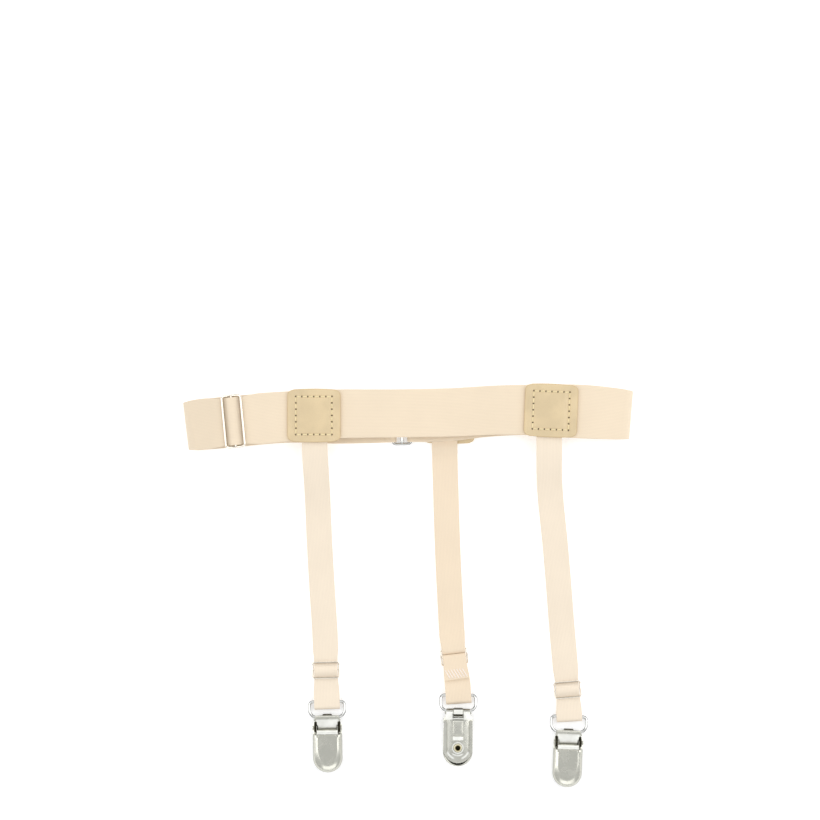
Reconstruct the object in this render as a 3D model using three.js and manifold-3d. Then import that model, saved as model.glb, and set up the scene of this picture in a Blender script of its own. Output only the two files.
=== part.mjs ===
// A shirt stay laid flat on a table: an elastic thigh band drawn into a flattened
// loop, three elastic straps sewn under leather patches, wire sliders that set the
// lengths, and a garter clip on a wire ring at the end of each strap.
// Millimetres. +X runs along the band to the right, +Y away from the clips and +Z up.
// The origin is the middle of the bounding box, on the table.

import * as THREE from 'three';
import { mergeVertices } from 'three/addons/utils/BufferGeometryUtils.js';
import Module from 'manifold-3d';

const wasm = await Module();
wasm.setup();

// Clearance between neighbouring pieces
const GAP = 0.3;

// Thigh band
const LOOP_LENGTH = 261;
const LOOP_HEIGHT = 10.3;
const BAND_WIDTH = 30;
const BAND_THICKNESS = 1.0;
const BAND_TAIL = 7.5;

// Wire slider on the band, and the clasp that closes it
const BAND_SLIDER_WIRE = 1.5;
const BAND_SLIDER_SPAN = 10.8;
const BAND_SLIDER_BOW = 1.6;
const BAND_SLIDER_ROOM = 28.4;
const CLASP_SPAN = 10.3;
const CLASP_TAIL = 5.5;

// Leather patches
const PATCH_WIDTH = 31;
const PATCH_HEIGHT = 31.3;
const PATCH_THICKNESS = 1.3;
const PATCH_CORNER = 3.2;
const PATCH_BULGE = 0.7;

// Straps
const STRAP_WIDTH = 15;
const STRAP_THICKNESS = 1.0;
const STRAP_TUCK = 11.5;

// From the middle of each patch to the ring, from the ring back to the slider, the
// length of the sewn tail past the slider's middle bar, and how far past the ring's
// bar the strap starts to fold back
const LEFT_REACH = 168;
const LEFT_SLIDER_BACK = 18.6;
const LEFT_TAIL = 11;
const LEFT_FOLD = 2.4;
const RIGHT_REACH = 179.6;
const RIGHT_SLIDER_BACK = 15.8;
const RIGHT_TAIL = 8;
const RIGHT_FOLD = 1;
const BACK_REACH = 163.2;
const BACK_SLIDER_BACK = 22.5;
const BACK_TAIL = 13;
const BACK_FOLD = 3;

// Wire sliders on the straps
const STRAP_SLIDER_WIRE = 0.9;
const STRAP_SLIDER_SPAN = 9;
const STRAP_SLIDER_ROOM = 14.4;

// Rings between strap and clip
const RING_WIRE = 1.7;
const RING_WIDTH = 22.3;
const RING_SPAN = 9.1;
const RING_STRAP_CORNER = 2.2;
const RING_CLIP_CORNER = 4.4;

// Garter clips: distances run from the ring bar to the tip
const SHEET = 0.7;
const CLIP_REACH = 32.4;
const CLIP_WIDTH = 17.3;
const CLIP_HEIGHT = 7;
const COVER_START = 9.3;
const COVER_SIDE_BEVEL = 3;
const COVER_TIP_BEVEL = 4.8;
const COVER_REAR_BEVEL = 0.9;
const COVER_CORNER = 1.2;
const COVER_RIM = 0.4;
const COVER_CROWN = 0.25;
const COVER_OVERHANG = 2;
const BASE_WIDTH = 17;
const BASE_NECK_WIDTH = 14;
const BASE_NECK_END = 2.2;
const BASE_STRIP_START = -0.6;
const BASE_STRIP = 1.6;
const SLOT_LENGTH = 2.4;
const TAB_WIDTH = 5.4;
const SHOULDER_WIDTH = 15.8;
const NECK_WIDTH = 12;
const JAW_WIDTH = 10.8;
const JAW_REACH = 27;
const SHOULDER_END = 2.2;
const TAB_CURL = 0.8;
const PIVOT_AT = 5.9;
const PIVOT_RADIUS = 0.8;
const PIVOT_HEAD_RADIUS = 1.3;
const EAR_RADIUS = 2.2;
const EAR_ROOT = 5;
const ROLL_AT = 8.3;
const ROLL_RADIUS = 1.1;
const ROLL_WIDTH = 13.4;
const SIDE_RIB_START = 4.9;
const SIDE_RIB_LENGTH = 20;
const SIDE_RIB_WIDTH = 1.8;
const PANEL_START = 5.6;
const PANEL_LENGTH = 8.4;
const PANEL_WIDTH = 6.4;
const PANEL_RELIEF = 0.2;
const EMBOSS_START = 14.6;
const EMBOSS_LENGTH = 2.6;
const EMBOSS_WIDTH = 6.8;
const RELIEF = 0.5;
const PAD_THICKNESS = 1.2;
const PAD_WIDTH = 12;
const EYELET_AT = 21.5;
const EYELET_HOLE = 1.35;
const EYELET_WALL = 0.4;
const EYELET_RIM = 2.5;

// Length of a change of level, as a multiple of its height
const STRAP_FALL = 4.5;
const STRAP_CLIMB = 3.5;
const BAND_CLIMB = 2.5;
const CLASP_CLIMB = 3;

// How finely curves are cut
const STEP_LENGTH = 11;
const ARC_STEP = Math.PI / 10;
const WIRE_SIDES = 6;
const EYELET_SIDES = 14;

// The band's two layers seen from above, from the left fold to the right one:
// place as a share of the loop's length; sideways offset, width and sag of the
// front layer as shares of the band's width, its width and the loop's height.
const BAND_FRONT = [
  { at: -0.5, aside: -0.262, width: 0.93, sag: 0 },
  { at: -0.47, aside: -0.228, width: 0.99, sag: 0 },
  { at: -0.352, aside: -0.127, width: 1.0, sag: 0 },
  { at: -0.28, aside: -0.073, width: 0.98, sag: 0 },
  { at: -0.15, aside: -0.015, width: 0.95, sag: 0.01 },
  { at: -0.09, aside: -0.01, width: 0.94, sag: 0.06 },
  { at: -0.02, aside: -0.007, width: 0.935, sag: 0.02 },
  { at: 0.094, aside: 0.012, width: 0.94, sag: 0 },
  { at: 0.18, aside: 0.05, width: 0.955, sag: 0.1 },
  { at: 0.255, aside: 0.063, width: 0.975, sag: 0.02 },
  { at: 0.38, aside: 0.033, width: 1.04, sag: 0 },
  { at: 0.46, aside: -0.012, width: 1.0, sag: 0 },
  { at: 0.5, aside: -0.043, width: 0.95, sag: 0 },
];
const BAND_BACK = [
  { at: -0.5, aside: -0.262 },
  { at: -0.42, aside: -0.19 },
  { at: -0.28, aside: -0.095 },
  { at: -0.15, aside: -0.125 },
  { at: -0.02, aside: -0.108 },
  { at: 0.094, aside: -0.078 },
  { at: 0.16, aside: -0.005 },
  { at: 0.255, aside: 0.052 },
  { at: 0.38, aside: 0.025 },
  { at: 0.5, aside: -0.043 },
];

// Where things sit along the band, as shares of the loop's length from its middle
const BAND_SLIDER_PLACE = -0.392;
const CLASP_PLACE = -0.0157;
const BACK_PATCH_PLACE = 0.0897;

// The three straps: the patch's place along the loop, its drop and turn, the strap's
// lengths, and the clip's turn in degrees. The course holds shares of the reach.
const STRAPS = [
  {
    name: 'left',
    faceUp: true,
    place: -0.2115,
    drop: 0.3,
    patchTurn: 0,
    reach: LEFT_REACH,
    sliderBack: LEFT_SLIDER_BACK,
    tail: LEFT_TAIL,
    fold: LEFT_FOLD,
    clipTurn: 1,
    course: [
      { along: -0.07, aside: 0.002 },
      { along: 0.09, aside: 0.002 },
      { along: 0.25, aside: 0.0095 },
      { along: 0.43, aside: 0.0165 },
      { along: 0.6, aside: 0.026 },
      { along: 0.78, aside: 0.0372 },
      { along: 0.9, aside: 0.04 },
      { along: 1, aside: 0.0435 },
    ],
  },
  {
    name: 'right',
    faceUp: true,
    place: 0.3188,
    drop: 0.1,
    patchTurn: -2.3,
    reach: RIGHT_REACH,
    sliderBack: RIGHT_SLIDER_BACK,
    tail: RIGHT_TAIL,
    fold: RIGHT_FOLD,
    clipTurn: -2.2,
    course: [
      { along: -0.07, aside: -0.008 },
      { along: 0.097, aside: -0.006 },
      { along: 0.23, aside: -0.0034 },
      { along: 0.425, aside: 0.0155 },
      { along: 0.556, aside: 0.027 },
      { along: 0.688, aside: 0.037 },
      { along: 0.82, aside: 0.0485 },
      { along: 0.95, aside: 0.0595 },
      { along: 1, aside: 0.062 },
    ],
  },
  {
    name: 'back',
    faceUp: false,
    place: BACK_PATCH_PLACE,
    drop: 0,
    patchTurn: 0.5,
    reach: BACK_REACH,
    sliderBack: BACK_SLIDER_BACK,
    tail: BACK_TAIL,
    fold: BACK_FOLD,
    clipTurn: -0.7,
    course: [
      { along: -0.07, aside: -0.0134 },
      { along: 0.097, aside: -0.0134 },
      { along: 0.297, aside: -0.0082 },
      { along: 0.51, aside: -0.001 },
      { along: 0.654, aside: 0.0061 },
      { along: 0.797, aside: 0.0142 },
      { along: 0.903, aside: 0.0257 },
      { along: 0.96, aside: 0.0332 },
      { along: 1, aside: 0.0358 },
    ],
  },
];

const ELASTIC = { color: 0xf6e6cc, roughness: 0.9, metalness: 0 };
const LEATHER = { color: 0xe0cfa6, roughness: 0.6, metalness: 0 };
const CHROME = { color: 0xd8d8d4, roughness: 0.15, metalness: 1 };
const NICKEL = { color: 0xc9c8ba, roughness: 0.25, metalness: 1 };
const BRASS = { color: 0xb9a05a, roughness: 0.3, metalness: 1 };
const RUBBER = { color: 0xf2f2ee, roughness: 0.7, metalness: 0 };

// Levels above the table that follow from the thicknesses
const bandPitch = BAND_THICKNESS + GAP;
const strapPitch = STRAP_THICKNESS + GAP;
const frontLevel = LOOP_HEIGHT - BAND_THICKNESS / 2;
const backLevel = BAND_THICKNESS / 2;
const bandWrap = BAND_SLIDER_WIRE / 2 + GAP + BAND_THICKNESS / 2;
const strapWrap = STRAP_SLIDER_WIRE / 2 + GAP + STRAP_THICKNESS / 2;
const ringWrap = RING_WIRE / 2 + GAP + STRAP_THICKNESS / 2;
const bandSliderLevel = frontLevel + bandWrap - BAND_SLIDER_BOW;
const claspLevel = backLevel + bandWrap;
const backPatchLift = PATCH_THICKNESS + GAP + STRAP_THICKNESS + GAP;

// Small makers

function material(finish) {
  return new THREE.MeshStandardMaterial(finish);
}

// Value of one column of a table at a place, along a smooth curve through its rows
function follow(table, key, column, place) {
  const last = table.length - 2;
  let row = table.findIndex((entry, i) => i <= last && place <= table[i + 1][key]);
  row = row < 0 ? last : row;
  const at = (i) => table[Math.min(Math.max(i, 0), table.length - 1)];
  const slope = (i) => {
    const before = at(i - 1);
    const after = at(i + 1);
    return (after[column] - before[column]) / (after[key] - before[key]);
  };
  const start = at(row);
  const end = at(row + 1);
  const length = end[key] - start[key];
  const t = THREE.MathUtils.clamp((place - start[key]) / length, 0, 1);
  const beyond = (place - start[key]) / length - t;
  const curved = (2 * t ** 3 - 3 * t ** 2 + 1) * start[column]
    + (t ** 3 - 2 * t ** 2 + t) * length * slope(row)
    + (3 * t ** 2 - 2 * t ** 3) * end[column]
    + (t ** 3 - t ** 2) * length * slope(row + 1);
  return curved + beyond * length * slope(beyond > 0 ? row + 1 : row);
}

// Closed surface through rings of equal point count, capped at both ends unless it
// closes on itself. The faces are turned outwards.
function loft(rings, closesOnItself = false) {
  const size = rings[0].length;
  const points = rings.flat();
  const index = [];
  const spans = closesOnItself ? rings.length : rings.length - 1;
  for (let i = 0; i < spans; i += 1) {
    const a = i * size;
    const b = ((i + 1) % rings.length) * size;
    for (let j = 0; j < size; j += 1) {
      const k = (j + 1) % size;
      index.push(a + j, b + j, b + k, a + j, b + k, a + k);
    }
  }
  if (!closesOnItself) {
    const end = (rings.length - 1) * size;
    for (let j = 1; j < size - 1; j += 1) {
      index.push(0, j, j + 1, end, end + j + 1, end + j);
    }
  }
  let volume = 0;
  for (let i = 0; i < index.length; i += 3) {
    const [a, b, c] = [points[index[i]], points[index[i + 1]], points[index[i + 2]]];
    volume += a.dot(new THREE.Vector3().crossVectors(b, c));
  }
  if (volume < 0) index.reverse();
  const geometry = new THREE.BufferGeometry();
  const positions = points.flatMap((p) => [p.x, p.y, p.z]);
  geometry.setAttribute('position', new THREE.Float32BufferAttribute(positions, 3));
  geometry.setIndex(index);
  return geometry;
}

function toSolid(geometry) {
  const bare = geometry.clone();
  bare.deleteAttribute('normal');
  bare.deleteAttribute('uv');
  const merged = mergeVertices(bare, 1e-4);
  return new wasm.Manifold(new wasm.Mesh({
    numProp: 3,
    vertProperties: Float32Array.from(merged.attributes.position.array),
    triVerts: Uint32Array.from(merged.index.array),
  }));
}

function toGeometry(solid) {
  const mesh = solid.getMesh();
  const geometry = new THREE.BufferGeometry();
  geometry.setAttribute('position', new THREE.Float32BufferAttribute(mesh.vertProperties, 3));
  geometry.setIndex(Array.from(mesh.triVerts));
  return geometry;
}

// Joins the first geometries and cuts the second ones away
function carve(joined, cut = []) {
  let solid = toSolid(joined[0]);
  for (const geometry of joined.slice(1)) solid = solid.add(toSolid(geometry));
  for (const geometry of cut) solid = solid.subtract(toSolid(geometry));
  return toGeometry(solid);
}

function prism(shape, low, high, curveSegments = 6) {
  const options = { depth: high - low, bevelEnabled: false, curveSegments };
  return new THREE.ExtrudeGeometry(shape, options).translate(0, 0, low);
}

// A plate drawn in side view, along and up, and standing between two side distances
function sidePlate(shape, near, far, curveSegments = 6) {
  return prism(shape, -far, -near, curveSegments).rotateX(Math.PI / 2);
}

function block(alongLow, alongHigh, halfWidth, low, high) {
  const size = [alongHigh - alongLow, 2 * halfWidth, high - low];
  const middle = [(alongLow + alongHigh) / 2, 0, (low + high) / 2];
  return new THREE.BoxGeometry(...size).translate(...middle);
}

function crossBar(along, up, radius, near, far, sides) {
  const bar = new THREE.CylinderGeometry(radius, radius, far - near, sides);
  return bar.translate(along, (near + far) / 2, up);
}

function upright(along, radius, low, high, sides) {
  const post = new THREE.CylinderGeometry(radius, radius, high - low, sides);
  return post.rotateX(Math.PI / 2).translate(along, 0, (low + high) / 2);
}

// A pill outline from one centre to another
function stadium(startX, startY, endX, endY, radius) {
  const angle = Math.atan2(endY - startY, endX - startX);
  const shape = new THREE.Shape();
  shape.absarc(startX, startY, radius, angle + Math.PI / 2, angle + 1.5 * Math.PI, false);
  shape.absarc(endX, endY, radius, angle - Math.PI / 2, angle + Math.PI / 2, false);
  return shape;
}

// A layer's course seen from the side. It is level at every place that is named, and
// passes from level to level by pairs of arcs and by half turns.
class Course {
  constructor(along, up, layer = 0) {
    this.points = [{ along, up, layer }];
    this.forward = 1;
  }

  get end() {
    return this.points[this.points.length - 1];
  }

  add(along, up, layer = this.end.layer) {
    this.points.push({ along, up, layer });
  }

  run(along) {
    const start = this.end;
    const steps = Math.max(1, Math.ceil(Math.abs(along - start.along) / STEP_LENGTH));
    this.forward = Math.sign(along - start.along);
    for (let i = 1; i <= steps; i += 1) {
      this.add(start.along + ((along - start.along) * i) / steps, start.up);
    }
    return this;
  }

  // Nest widens the first arc and tightens the second, for a layer inside another
  ease(along, up, nest = 0) {
    const start = this.end;
    const length = Math.abs(along - start.along);
    const rise = Math.abs(up - start.up);
    const upward = Math.sign(up - start.up);
    this.forward = Math.sign(along - start.along);
    const angle = 2 * Math.atan2(rise, length);
    const half = length / Math.sin(angle) / 2;
    const steps = Math.max(2, Math.ceil(angle / ARC_STEP));
    const arc = (radius, turned) => [
      this.forward * radius * Math.sin(turned),
      upward * radius * (1 - Math.cos(turned)),
    ];
    for (let i = 1; i <= steps; i += 1) {
      const [over, lift] = arc(half + nest, (angle * i) / steps);
      this.add(start.along + over, start.up + lift);
    }
    for (let i = steps - 1; i >= 0; i -= 1) {
      const [over, lift] = arc(half - nest, (angle * i) / steps);
      this.add(along - over, up - lift);
    }
    return this;
  }

  turn(up, layer = this.end.layer) {
    const start = this.end;
    const radius = (up - start.up) / 2;
    const steps = Math.round(Math.PI / ARC_STEP);
    for (let i = 1; i <= steps; i += 1) {
      const turned = (Math.PI * i) / steps;
      const over = this.forward * Math.abs(radius) * Math.sin(turned);
      const share = i / steps;
      this.add(
        start.along + over,
        start.up + radius * (1 - Math.cos(turned)),
        start.layer + (layer - start.layer) * share,
      );
    }
    this.forward = -this.forward;
    return this;
  }
}

// A strip of even thickness along a course. Place gives the middle and the sideways
// direction for each point of the course, and its width there.
function strip(course, thickness, place) {
  const stations = course.points.map(place);
  const last = stations.length - 1;
  const heading = (i) => {
    const from = stations[Math.min(Math.max(i, 0), last - 1)].middle;
    const to = stations[Math.min(Math.max(i, 0), last - 1) + 1].middle;
    return new THREE.Vector3().subVectors(to, from).normalize();
  };
  return loft(stations.map(({ middle, across, width }, i) => {
    const tangent = heading(i - 1).add(heading(i)).normalize();
    const normal = new THREE.Vector3().crossVectors(tangent, across).normalize();
    const corner = (side, face) => middle.clone()
      .addScaledVector(across, (side * width) / 2)
      .addScaledVector(normal, (face * thickness) / 2);
    return [corner(1, 1), corner(-1, 1), corner(-1, -1), corner(1, -1)];
  }));
}

// A round wire along a closed run of points that lies near to level
function wireLoop(points, wire) {
  const rings = points.map((point, i) => {
    const next = points[(i + 1) % points.length];
    const before = points[(i + points.length - 1) % points.length];
    const tangent = new THREE.Vector3().subVectors(next, before).normalize();
    const across = new THREE.Vector3(0, 0, 1).cross(tangent).normalize();
    const up = new THREE.Vector3().crossVectors(tangent, across);
    return Array.from({ length: WIRE_SIDES }, (_, k) => {
      const angle = ((k + 0.5) * 2 * Math.PI) / WIRE_SIDES;
      return point.clone()
        .addScaledVector(across, (Math.cos(angle) * wire) / 2)
        .addScaledVector(up, (Math.sin(angle) * wire) / 2);
    });
  });
  return loft(rings, true);
}

// Corners of a rounded frame in plan, along from low to high, with its own corner
// radius at each end
function frameOutline(low, high, halfWidth, lowRadius, highRadius) {
  const points = [];
  const steps = 3;
  const corner = (along, aside, radius, from) => {
    for (let i = 0; i <= steps; i += 1) {
      const angle = from + ((Math.PI / 2) * i) / steps;
      points.push(new THREE.Vector2(along + radius * Math.cos(angle), aside + radius * Math.sin(angle)));
    }
  };
  corner(high - highRadius, halfWidth - highRadius, highRadius, 0);
  points.push(new THREE.Vector2((low + high) / 2, halfWidth));
  corner(low + lowRadius, halfWidth - lowRadius, lowRadius, Math.PI / 2);
  corner(low + lowRadius, -halfWidth + lowRadius, lowRadius, Math.PI);
  points.push(new THREE.Vector2((low + high) / 2, -halfWidth));
  corner(high - highRadius, -halfWidth + highRadius, highRadius, 1.5 * Math.PI);
  return points;
}

// A slider: a rounded wire frame with a middle bar. The outer bars stand above the
// middle one by the bow, and one of them higher than the other by the tilt.
function sliderGeometry(span, room, wire, bow, tilt) {
  const half = span / 2;
  const halfWidth = (room + wire) / 2;
  const corner = wire;
  const outline = frameOutline(-half, half, halfWidth, corner, corner);
  const lift = (along) => bow * (along / half) ** 2 + (tilt * along) / half;
  const frame = outline.map((p) => new THREE.Vector3(p.x, p.y, lift(p.x)));
  const bar = crossBar(0, 0, wire / 2, -halfWidth, halfWidth, WIRE_SIDES);
  return carve([wireLoop(frame, wire), bar]);
}

// The ring: straight bar in the strap's fold, wider corners towards the clip
function ringGeometry(rise) {
  const halfWidth = (RING_WIDTH - RING_WIRE) / 2;
  const outline = frameOutline(0, RING_SPAN, halfWidth, RING_STRAP_CORNER, RING_CLIP_CORNER);
  const frame = outline.map((p) => new THREE.Vector3(p.x, p.y, (rise * p.x) / RING_SPAN));
  return wireLoop(frame, RING_WIRE);
}

// Thigh band

function sliderPinch(distance, span, room, width) {
  const reach = span;
  const share = THREE.MathUtils.smoothstep(Math.abs(distance), span / 2, span / 2 + reach);
  const pinched = Math.min(width, room - 2 * GAP);
  return pinched + (width - pinched) * share;
}

function bandPlace({ along, up, layer }) {
  const place = along / LOOP_LENGTH;
  const step = 0.01;
  const line = (at) => THREE.MathUtils.lerp(
    follow(BAND_FRONT, 'at', 'aside', at),
    follow(BAND_BACK, 'at', 'aside', at),
    layer,
  ) * BAND_WIDTH;
  const slope = (line(place + step) - line(place - step)) / (2 * step * LOOP_LENGTH);
  const sag = follow(BAND_FRONT, 'at', 'sag', place) * LOOP_HEIGHT * (1 - layer);
  let width = follow(BAND_FRONT, 'at', 'width', place) * BAND_WIDTH;
  const sliderSide = along - BAND_SLIDER_PLACE * LOOP_LENGTH;
  const claspSide = along - CLASP_PLACE * LOOP_LENGTH;
  const pinches = layer < 0.5
    ? [sliderSide, BAND_SLIDER_SPAN]
    : [claspSide, CLASP_SPAN];
  width = sliderPinch(pinches[0], pinches[1], BAND_SLIDER_ROOM, width);
  return {
    middle: new THREE.Vector3(along, line(place), up - sag),
    across: new THREE.Vector3(-slope, 1, 0).normalize(),
    width,
  };
}

function bandCourse() {
  const slider = BAND_SLIDER_PLACE * LOOP_LENGTH;
  const sliderHalf = BAND_SLIDER_SPAN / 2;
  const clasp = CLASP_PLACE * LOOP_LENGTH;
  const claspHalf = CLASP_SPAN / 2;
  const patch = BACK_PATCH_PLACE * LOOP_LENGTH;
  const lifted = backLevel + backPatchLift;
  const foldAt = LOOP_LENGTH / 2 - LOOP_HEIGHT / 2;
  const wrapTop = bandSliderLevel + bandWrap;
  const tailLevel = frontLevel - 2 * bandPitch;
  const patchEnd = patch + PATCH_WIDTH / 2 + GAP;
  const course = new Course(slider - BAND_TAIL, tailLevel);
  course.run(slider - 0.8 * sliderHalf);
  course.ease(slider, bandSliderLevel - bandWrap);
  course.turn(wrapTop);
  course.ease(slider - sliderHalf, frontLevel - bandPitch, -bandPitch);
  course.run(-foldAt);
  course.turn(backLevel + bandPitch, 1);
  course.run(clasp - claspHalf - CLASP_CLIMB * bandWrap);
  course.ease(clasp - claspHalf, claspLevel + bandWrap);
  course.turn(backLevel);
  course.run(-foldAt);
  course.turn(frontLevel, 0);
  course.run(slider - sliderHalf);
  course.ease(slider, wrapTop + bandPitch);
  course.ease(slider + sliderHalf, frontLevel);
  course.run(foldAt);
  course.turn(backLevel, 1);
  course.run(patchEnd + BAND_CLIMB * lifted);
  course.ease(patchEnd, lifted);
  course.run(patch - PATCH_WIDTH / 2);
  course.ease(clasp + claspHalf, claspLevel + bandWrap);
  course.turn(backLevel);
  course.run(clasp + claspHalf + CLASP_TAIL);
  return course;
}

// Where a part sits on the band's front or back layer
function bandSpot(share, layer) {
  return bandPlace({ along: share * LOOP_LENGTH, up: 0, layer }).middle;
}

// Straps

function strapOrigin(strap) {
  const spot = bandSpot(strap.place, strap.faceUp ? 0 : 1);
  return new THREE.Vector2(spot.x, spot.y - strap.drop);
}

function strapPlace(strap) {
  const origin = strapOrigin(strap);
  const step = 0.01;
  const sway = (share) => follow(strap.course, 'along', 'aside', share) * strap.reach;
  const sliderAt = strap.reach - strap.sliderBack;
  return ({ along, up }) => {
    const share = along / strap.reach;
    const slope = (sway(share + step) - sway(share - step)) / (2 * step * strap.reach);
    return {
      middle: new THREE.Vector3(origin.x + sway(share), origin.y - along, up),
      across: new THREE.Vector3(1, slope, 0).normalize(),
      width: sliderPinch(along - sliderAt, STRAP_SLIDER_SPAN, STRAP_SLIDER_ROOM, STRAP_WIDTH),
    };
  };
}

// Levels of a strap's layers. A strap that lies on its face has the same stack
// turned over, standing on the table again.
function strapLevels(strap) {
  const low = STRAP_THICKNESS / 2;
  const bar = low + strapWrap;
  const hump = bar + strapWrap + strapPitch;
  const ringTop = low + 2 * ringWrap;
  const turned = (stack) => (level) => (strap.faceUp ? level : stack - level);
  const atSlider = turned(low + hump);
  const atRing = turned(low + ringTop);
  return {
    start: strap.faceUp
      ? frontLevel + BAND_THICKNESS / 2 + GAP + low
      : PATCH_THICKNESS + GAP + low,
    single: low,
    upperRun: atSlider(low),
    hump: atSlider(hump),
    lowerRun: atSlider(low + 2 * strapPitch),
    lowerReturn: atSlider(low + strapPitch),
    wrap: atSlider(bar + strapWrap),
    tail: atSlider(low),
    bar: atSlider(bar),
    ringRun: atRing(ringTop),
    ringReturn: atRing(low),
    ring: atRing(low + ringWrap),
  };
}

function strapCourse(strap) {
  const levels = strapLevels(strap);
  const half = STRAP_SLIDER_SPAN / 2;
  const slider = strap.reach - strap.sliderBack;
  const patchEdge = PATCH_HEIGHT / 2 + 2 * GAP;
  const fall = STRAP_FALL * Math.abs(levels.start - levels.single);
  const nest = strapPitch / 2;
  const tailEnd = slider + strap.tail;
  const course = new Course(-STRAP_TUCK, levels.start);
  course.run(patchEdge);
  course.ease(patchEdge + fall, levels.single);
  if (strap.faceUp) {
    course.run(slider - half);
  } else {
    course.run(slider - half - STRAP_CLIMB * levels.upperRun);
    course.ease(slider - half, levels.upperRun);
  }
  course.ease(slider, levels.hump);
  course.ease(slider + half, levels.lowerRun, strap.faceUp ? -nest : nest);
  course.run(tailEnd);
  course.ease(strap.reach, levels.ringRun);
  course.run(strap.reach + strap.fold);
  course.turn(levels.ringReturn);
  course.run(Math.max(strap.reach, tailEnd + 4 * STRAP_THICKNESS));
  course.ease(tailEnd + STRAP_THICKNESS / 2, levels.lowerReturn);
  course.run(slider + half);
  course.ease(slider, levels.wrap, strap.faceUp ? nest : -nest);
  course.turn(levels.tail);
  course.run(tailEnd);
  return course;
}

// Patches: a rounded square with bowed edges, pressed down on both sides of the strap
// that it covers, which lies off its middle by the shift
function patchGeometry(shift) {
  const halfWidth = PATCH_WIDTH / 2;
  const halfHeight = PATCH_HEIGHT / 2 - PATCH_BULGE;
  const r = PATCH_CORNER;
  const outline = new THREE.Shape();
  outline.moveTo(-halfWidth + r, -halfHeight);
  outline.quadraticCurveTo(0, -halfHeight - 2 * PATCH_BULGE, halfWidth - r, -halfHeight);
  outline.absarc(halfWidth - r, -halfHeight + r, r, -Math.PI / 2, 0, false);
  outline.absarc(halfWidth - r, halfHeight - r, r, 0, Math.PI / 2, false);
  outline.quadraticCurveTo(0, halfHeight + 2 * PATCH_BULGE, -halfWidth + r, halfHeight);
  outline.absarc(-halfWidth + r, halfHeight - r, r, Math.PI / 2, Math.PI, false);
  outline.absarc(-halfWidth + r, -halfHeight + r, r, Math.PI, 1.5 * Math.PI, false);
  const shoulder = STRAP_WIDTH / 2 + STRAP_THICKNESS + GAP;
  const fall = strapPitch;
  const foot = shoulder + 2.5 * fall;
  const edge = halfWidth + STRAP_WIDTH;
  const rows = [
    [-edge, -fall], [-foot, -fall], [-(foot + shoulder) / 2, -fall / 2], [-shoulder, 0],
    [shoulder, 0], [(foot + shoulder) / 2, -fall / 2], [foot, -fall], [edge, -fall],
  ];
  const corner = (aside, level) => new THREE.Vector2(aside + shift, level);
  const under = rows.map(([aside, level]) => corner(aside, level));
  const over = rows.map(([aside, level]) => corner(aside, level + PATCH_THICKNESS));
  const section = new THREE.Shape([...under, ...over.reverse()]);
  const sheet = prism(section, -PATCH_HEIGHT, PATCH_HEIGHT).rotateX(Math.PI / 2);
  const cutter = prism(outline, -2 * PATCH_THICKNESS, 2 * PATCH_THICKNESS, 5);
  return toGeometry(toSolid(sheet).intersect(toSolid(cutter)));
}

// Garter clip. Its own frame: x from the ring bar to the tip, z up from its back face.
const baseReach = CLIP_REACH - COVER_OVERHANG;
const ribDepth = SHEET + GAP;
const webTop = ribDepth + SHEET;
const ringBarLevel = webTop + GAP + RING_WIRE / 2;
const shoulderLevel = ringBarLevel + RING_WIRE / 2 + GAP + SHEET / 2;
const jawLevel = webTop + GAP + PAD_THICKNESS + GAP + SHEET / 2;
const pivotLevel = shoulderLevel + SHEET / 2;
const rollLevel = jawLevel + SHEET / 2 + GAP + ROLL_RADIUS;
const lugOuter = ROLL_WIDTH / 2;
const earInner = lugOuter + GAP;
const earOuter = earInner + SHEET;
const headInner = earOuter + GAP;
const headOuter = headInner + SHEET;
const pinHole = PIVOT_RADIUS + GAP;
const eyeletRoom = EYELET_HOLE + EYELET_WALL + GAP;

// A tongue outline: square at the ring end, round at the tip, inset from the named
// size by its own amount at the rear, the sides and the tip
function tongue(start, reach, width, rearInset, sideInset, tipInset) {
  const half = width / 2 - sideInset;
  const rear = start + rearInset;
  const tip = reach - tipInset;
  const shoulder = reach - width / 2;
  const corner = COVER_CORNER;
  const points = [];
  for (let i = 0; i <= 2; i += 1) {
    const angle = Math.PI + ((Math.PI / 2) * i) / 2;
    points.push([rear + corner * (1 + Math.cos(angle)), -half + corner * (1 + Math.sin(angle))]);
  }
  const steps = 12;
  for (let i = 0; i <= steps; i += 1) {
    const angle = -Math.PI / 2 + (Math.PI * i) / steps;
    points.push([shoulder + (tip - shoulder) * Math.cos(angle), half * Math.sin(angle)]);
  }
  for (let i = 0; i <= 2; i += 1) {
    const angle = Math.PI / 2 + ((Math.PI / 2) * i) / 2;
    points.push([rear + corner * (1 + Math.cos(angle)), half + corner * (Math.sin(angle) - 1)]);
  }
  return points;
}

function coverGeometry() {
  const ring = (rear, side, tip, level) => tongue(COVER_START, CLIP_REACH, CLIP_WIDTH, rear, side, tip)
    .map(([along, aside]) => new THREE.Vector3(along, aside, level));
  const edge = webTop + 2 * GAP;
  const brow = edge + 0.3 * (CLIP_HEIGHT - edge);
  const rim = COVER_RIM;
  const rear = COVER_REAR_BEVEL;
  const side = COVER_SIDE_BEVEL;
  const tip = COVER_TIP_BEVEL;
  const brink = 2 * COVER_CROWN;
  return loft([
    ring(rear + SHEET, side + SHEET, tip + SHEET, CLIP_HEIGHT - SHEET),
    ring(rim + SHEET, rim + SHEET, rim + SHEET, brow),
    ring(SHEET, SHEET, SHEET, edge),
    ring(0, 0, 0, edge),
    ring(rim, rim, rim, brow),
    ring(rear, side, tip, CLIP_HEIGHT - COVER_CROWN),
    ring(rear + brink, side + brink, tip + brink, CLIP_HEIGHT),
  ]);
}

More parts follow.
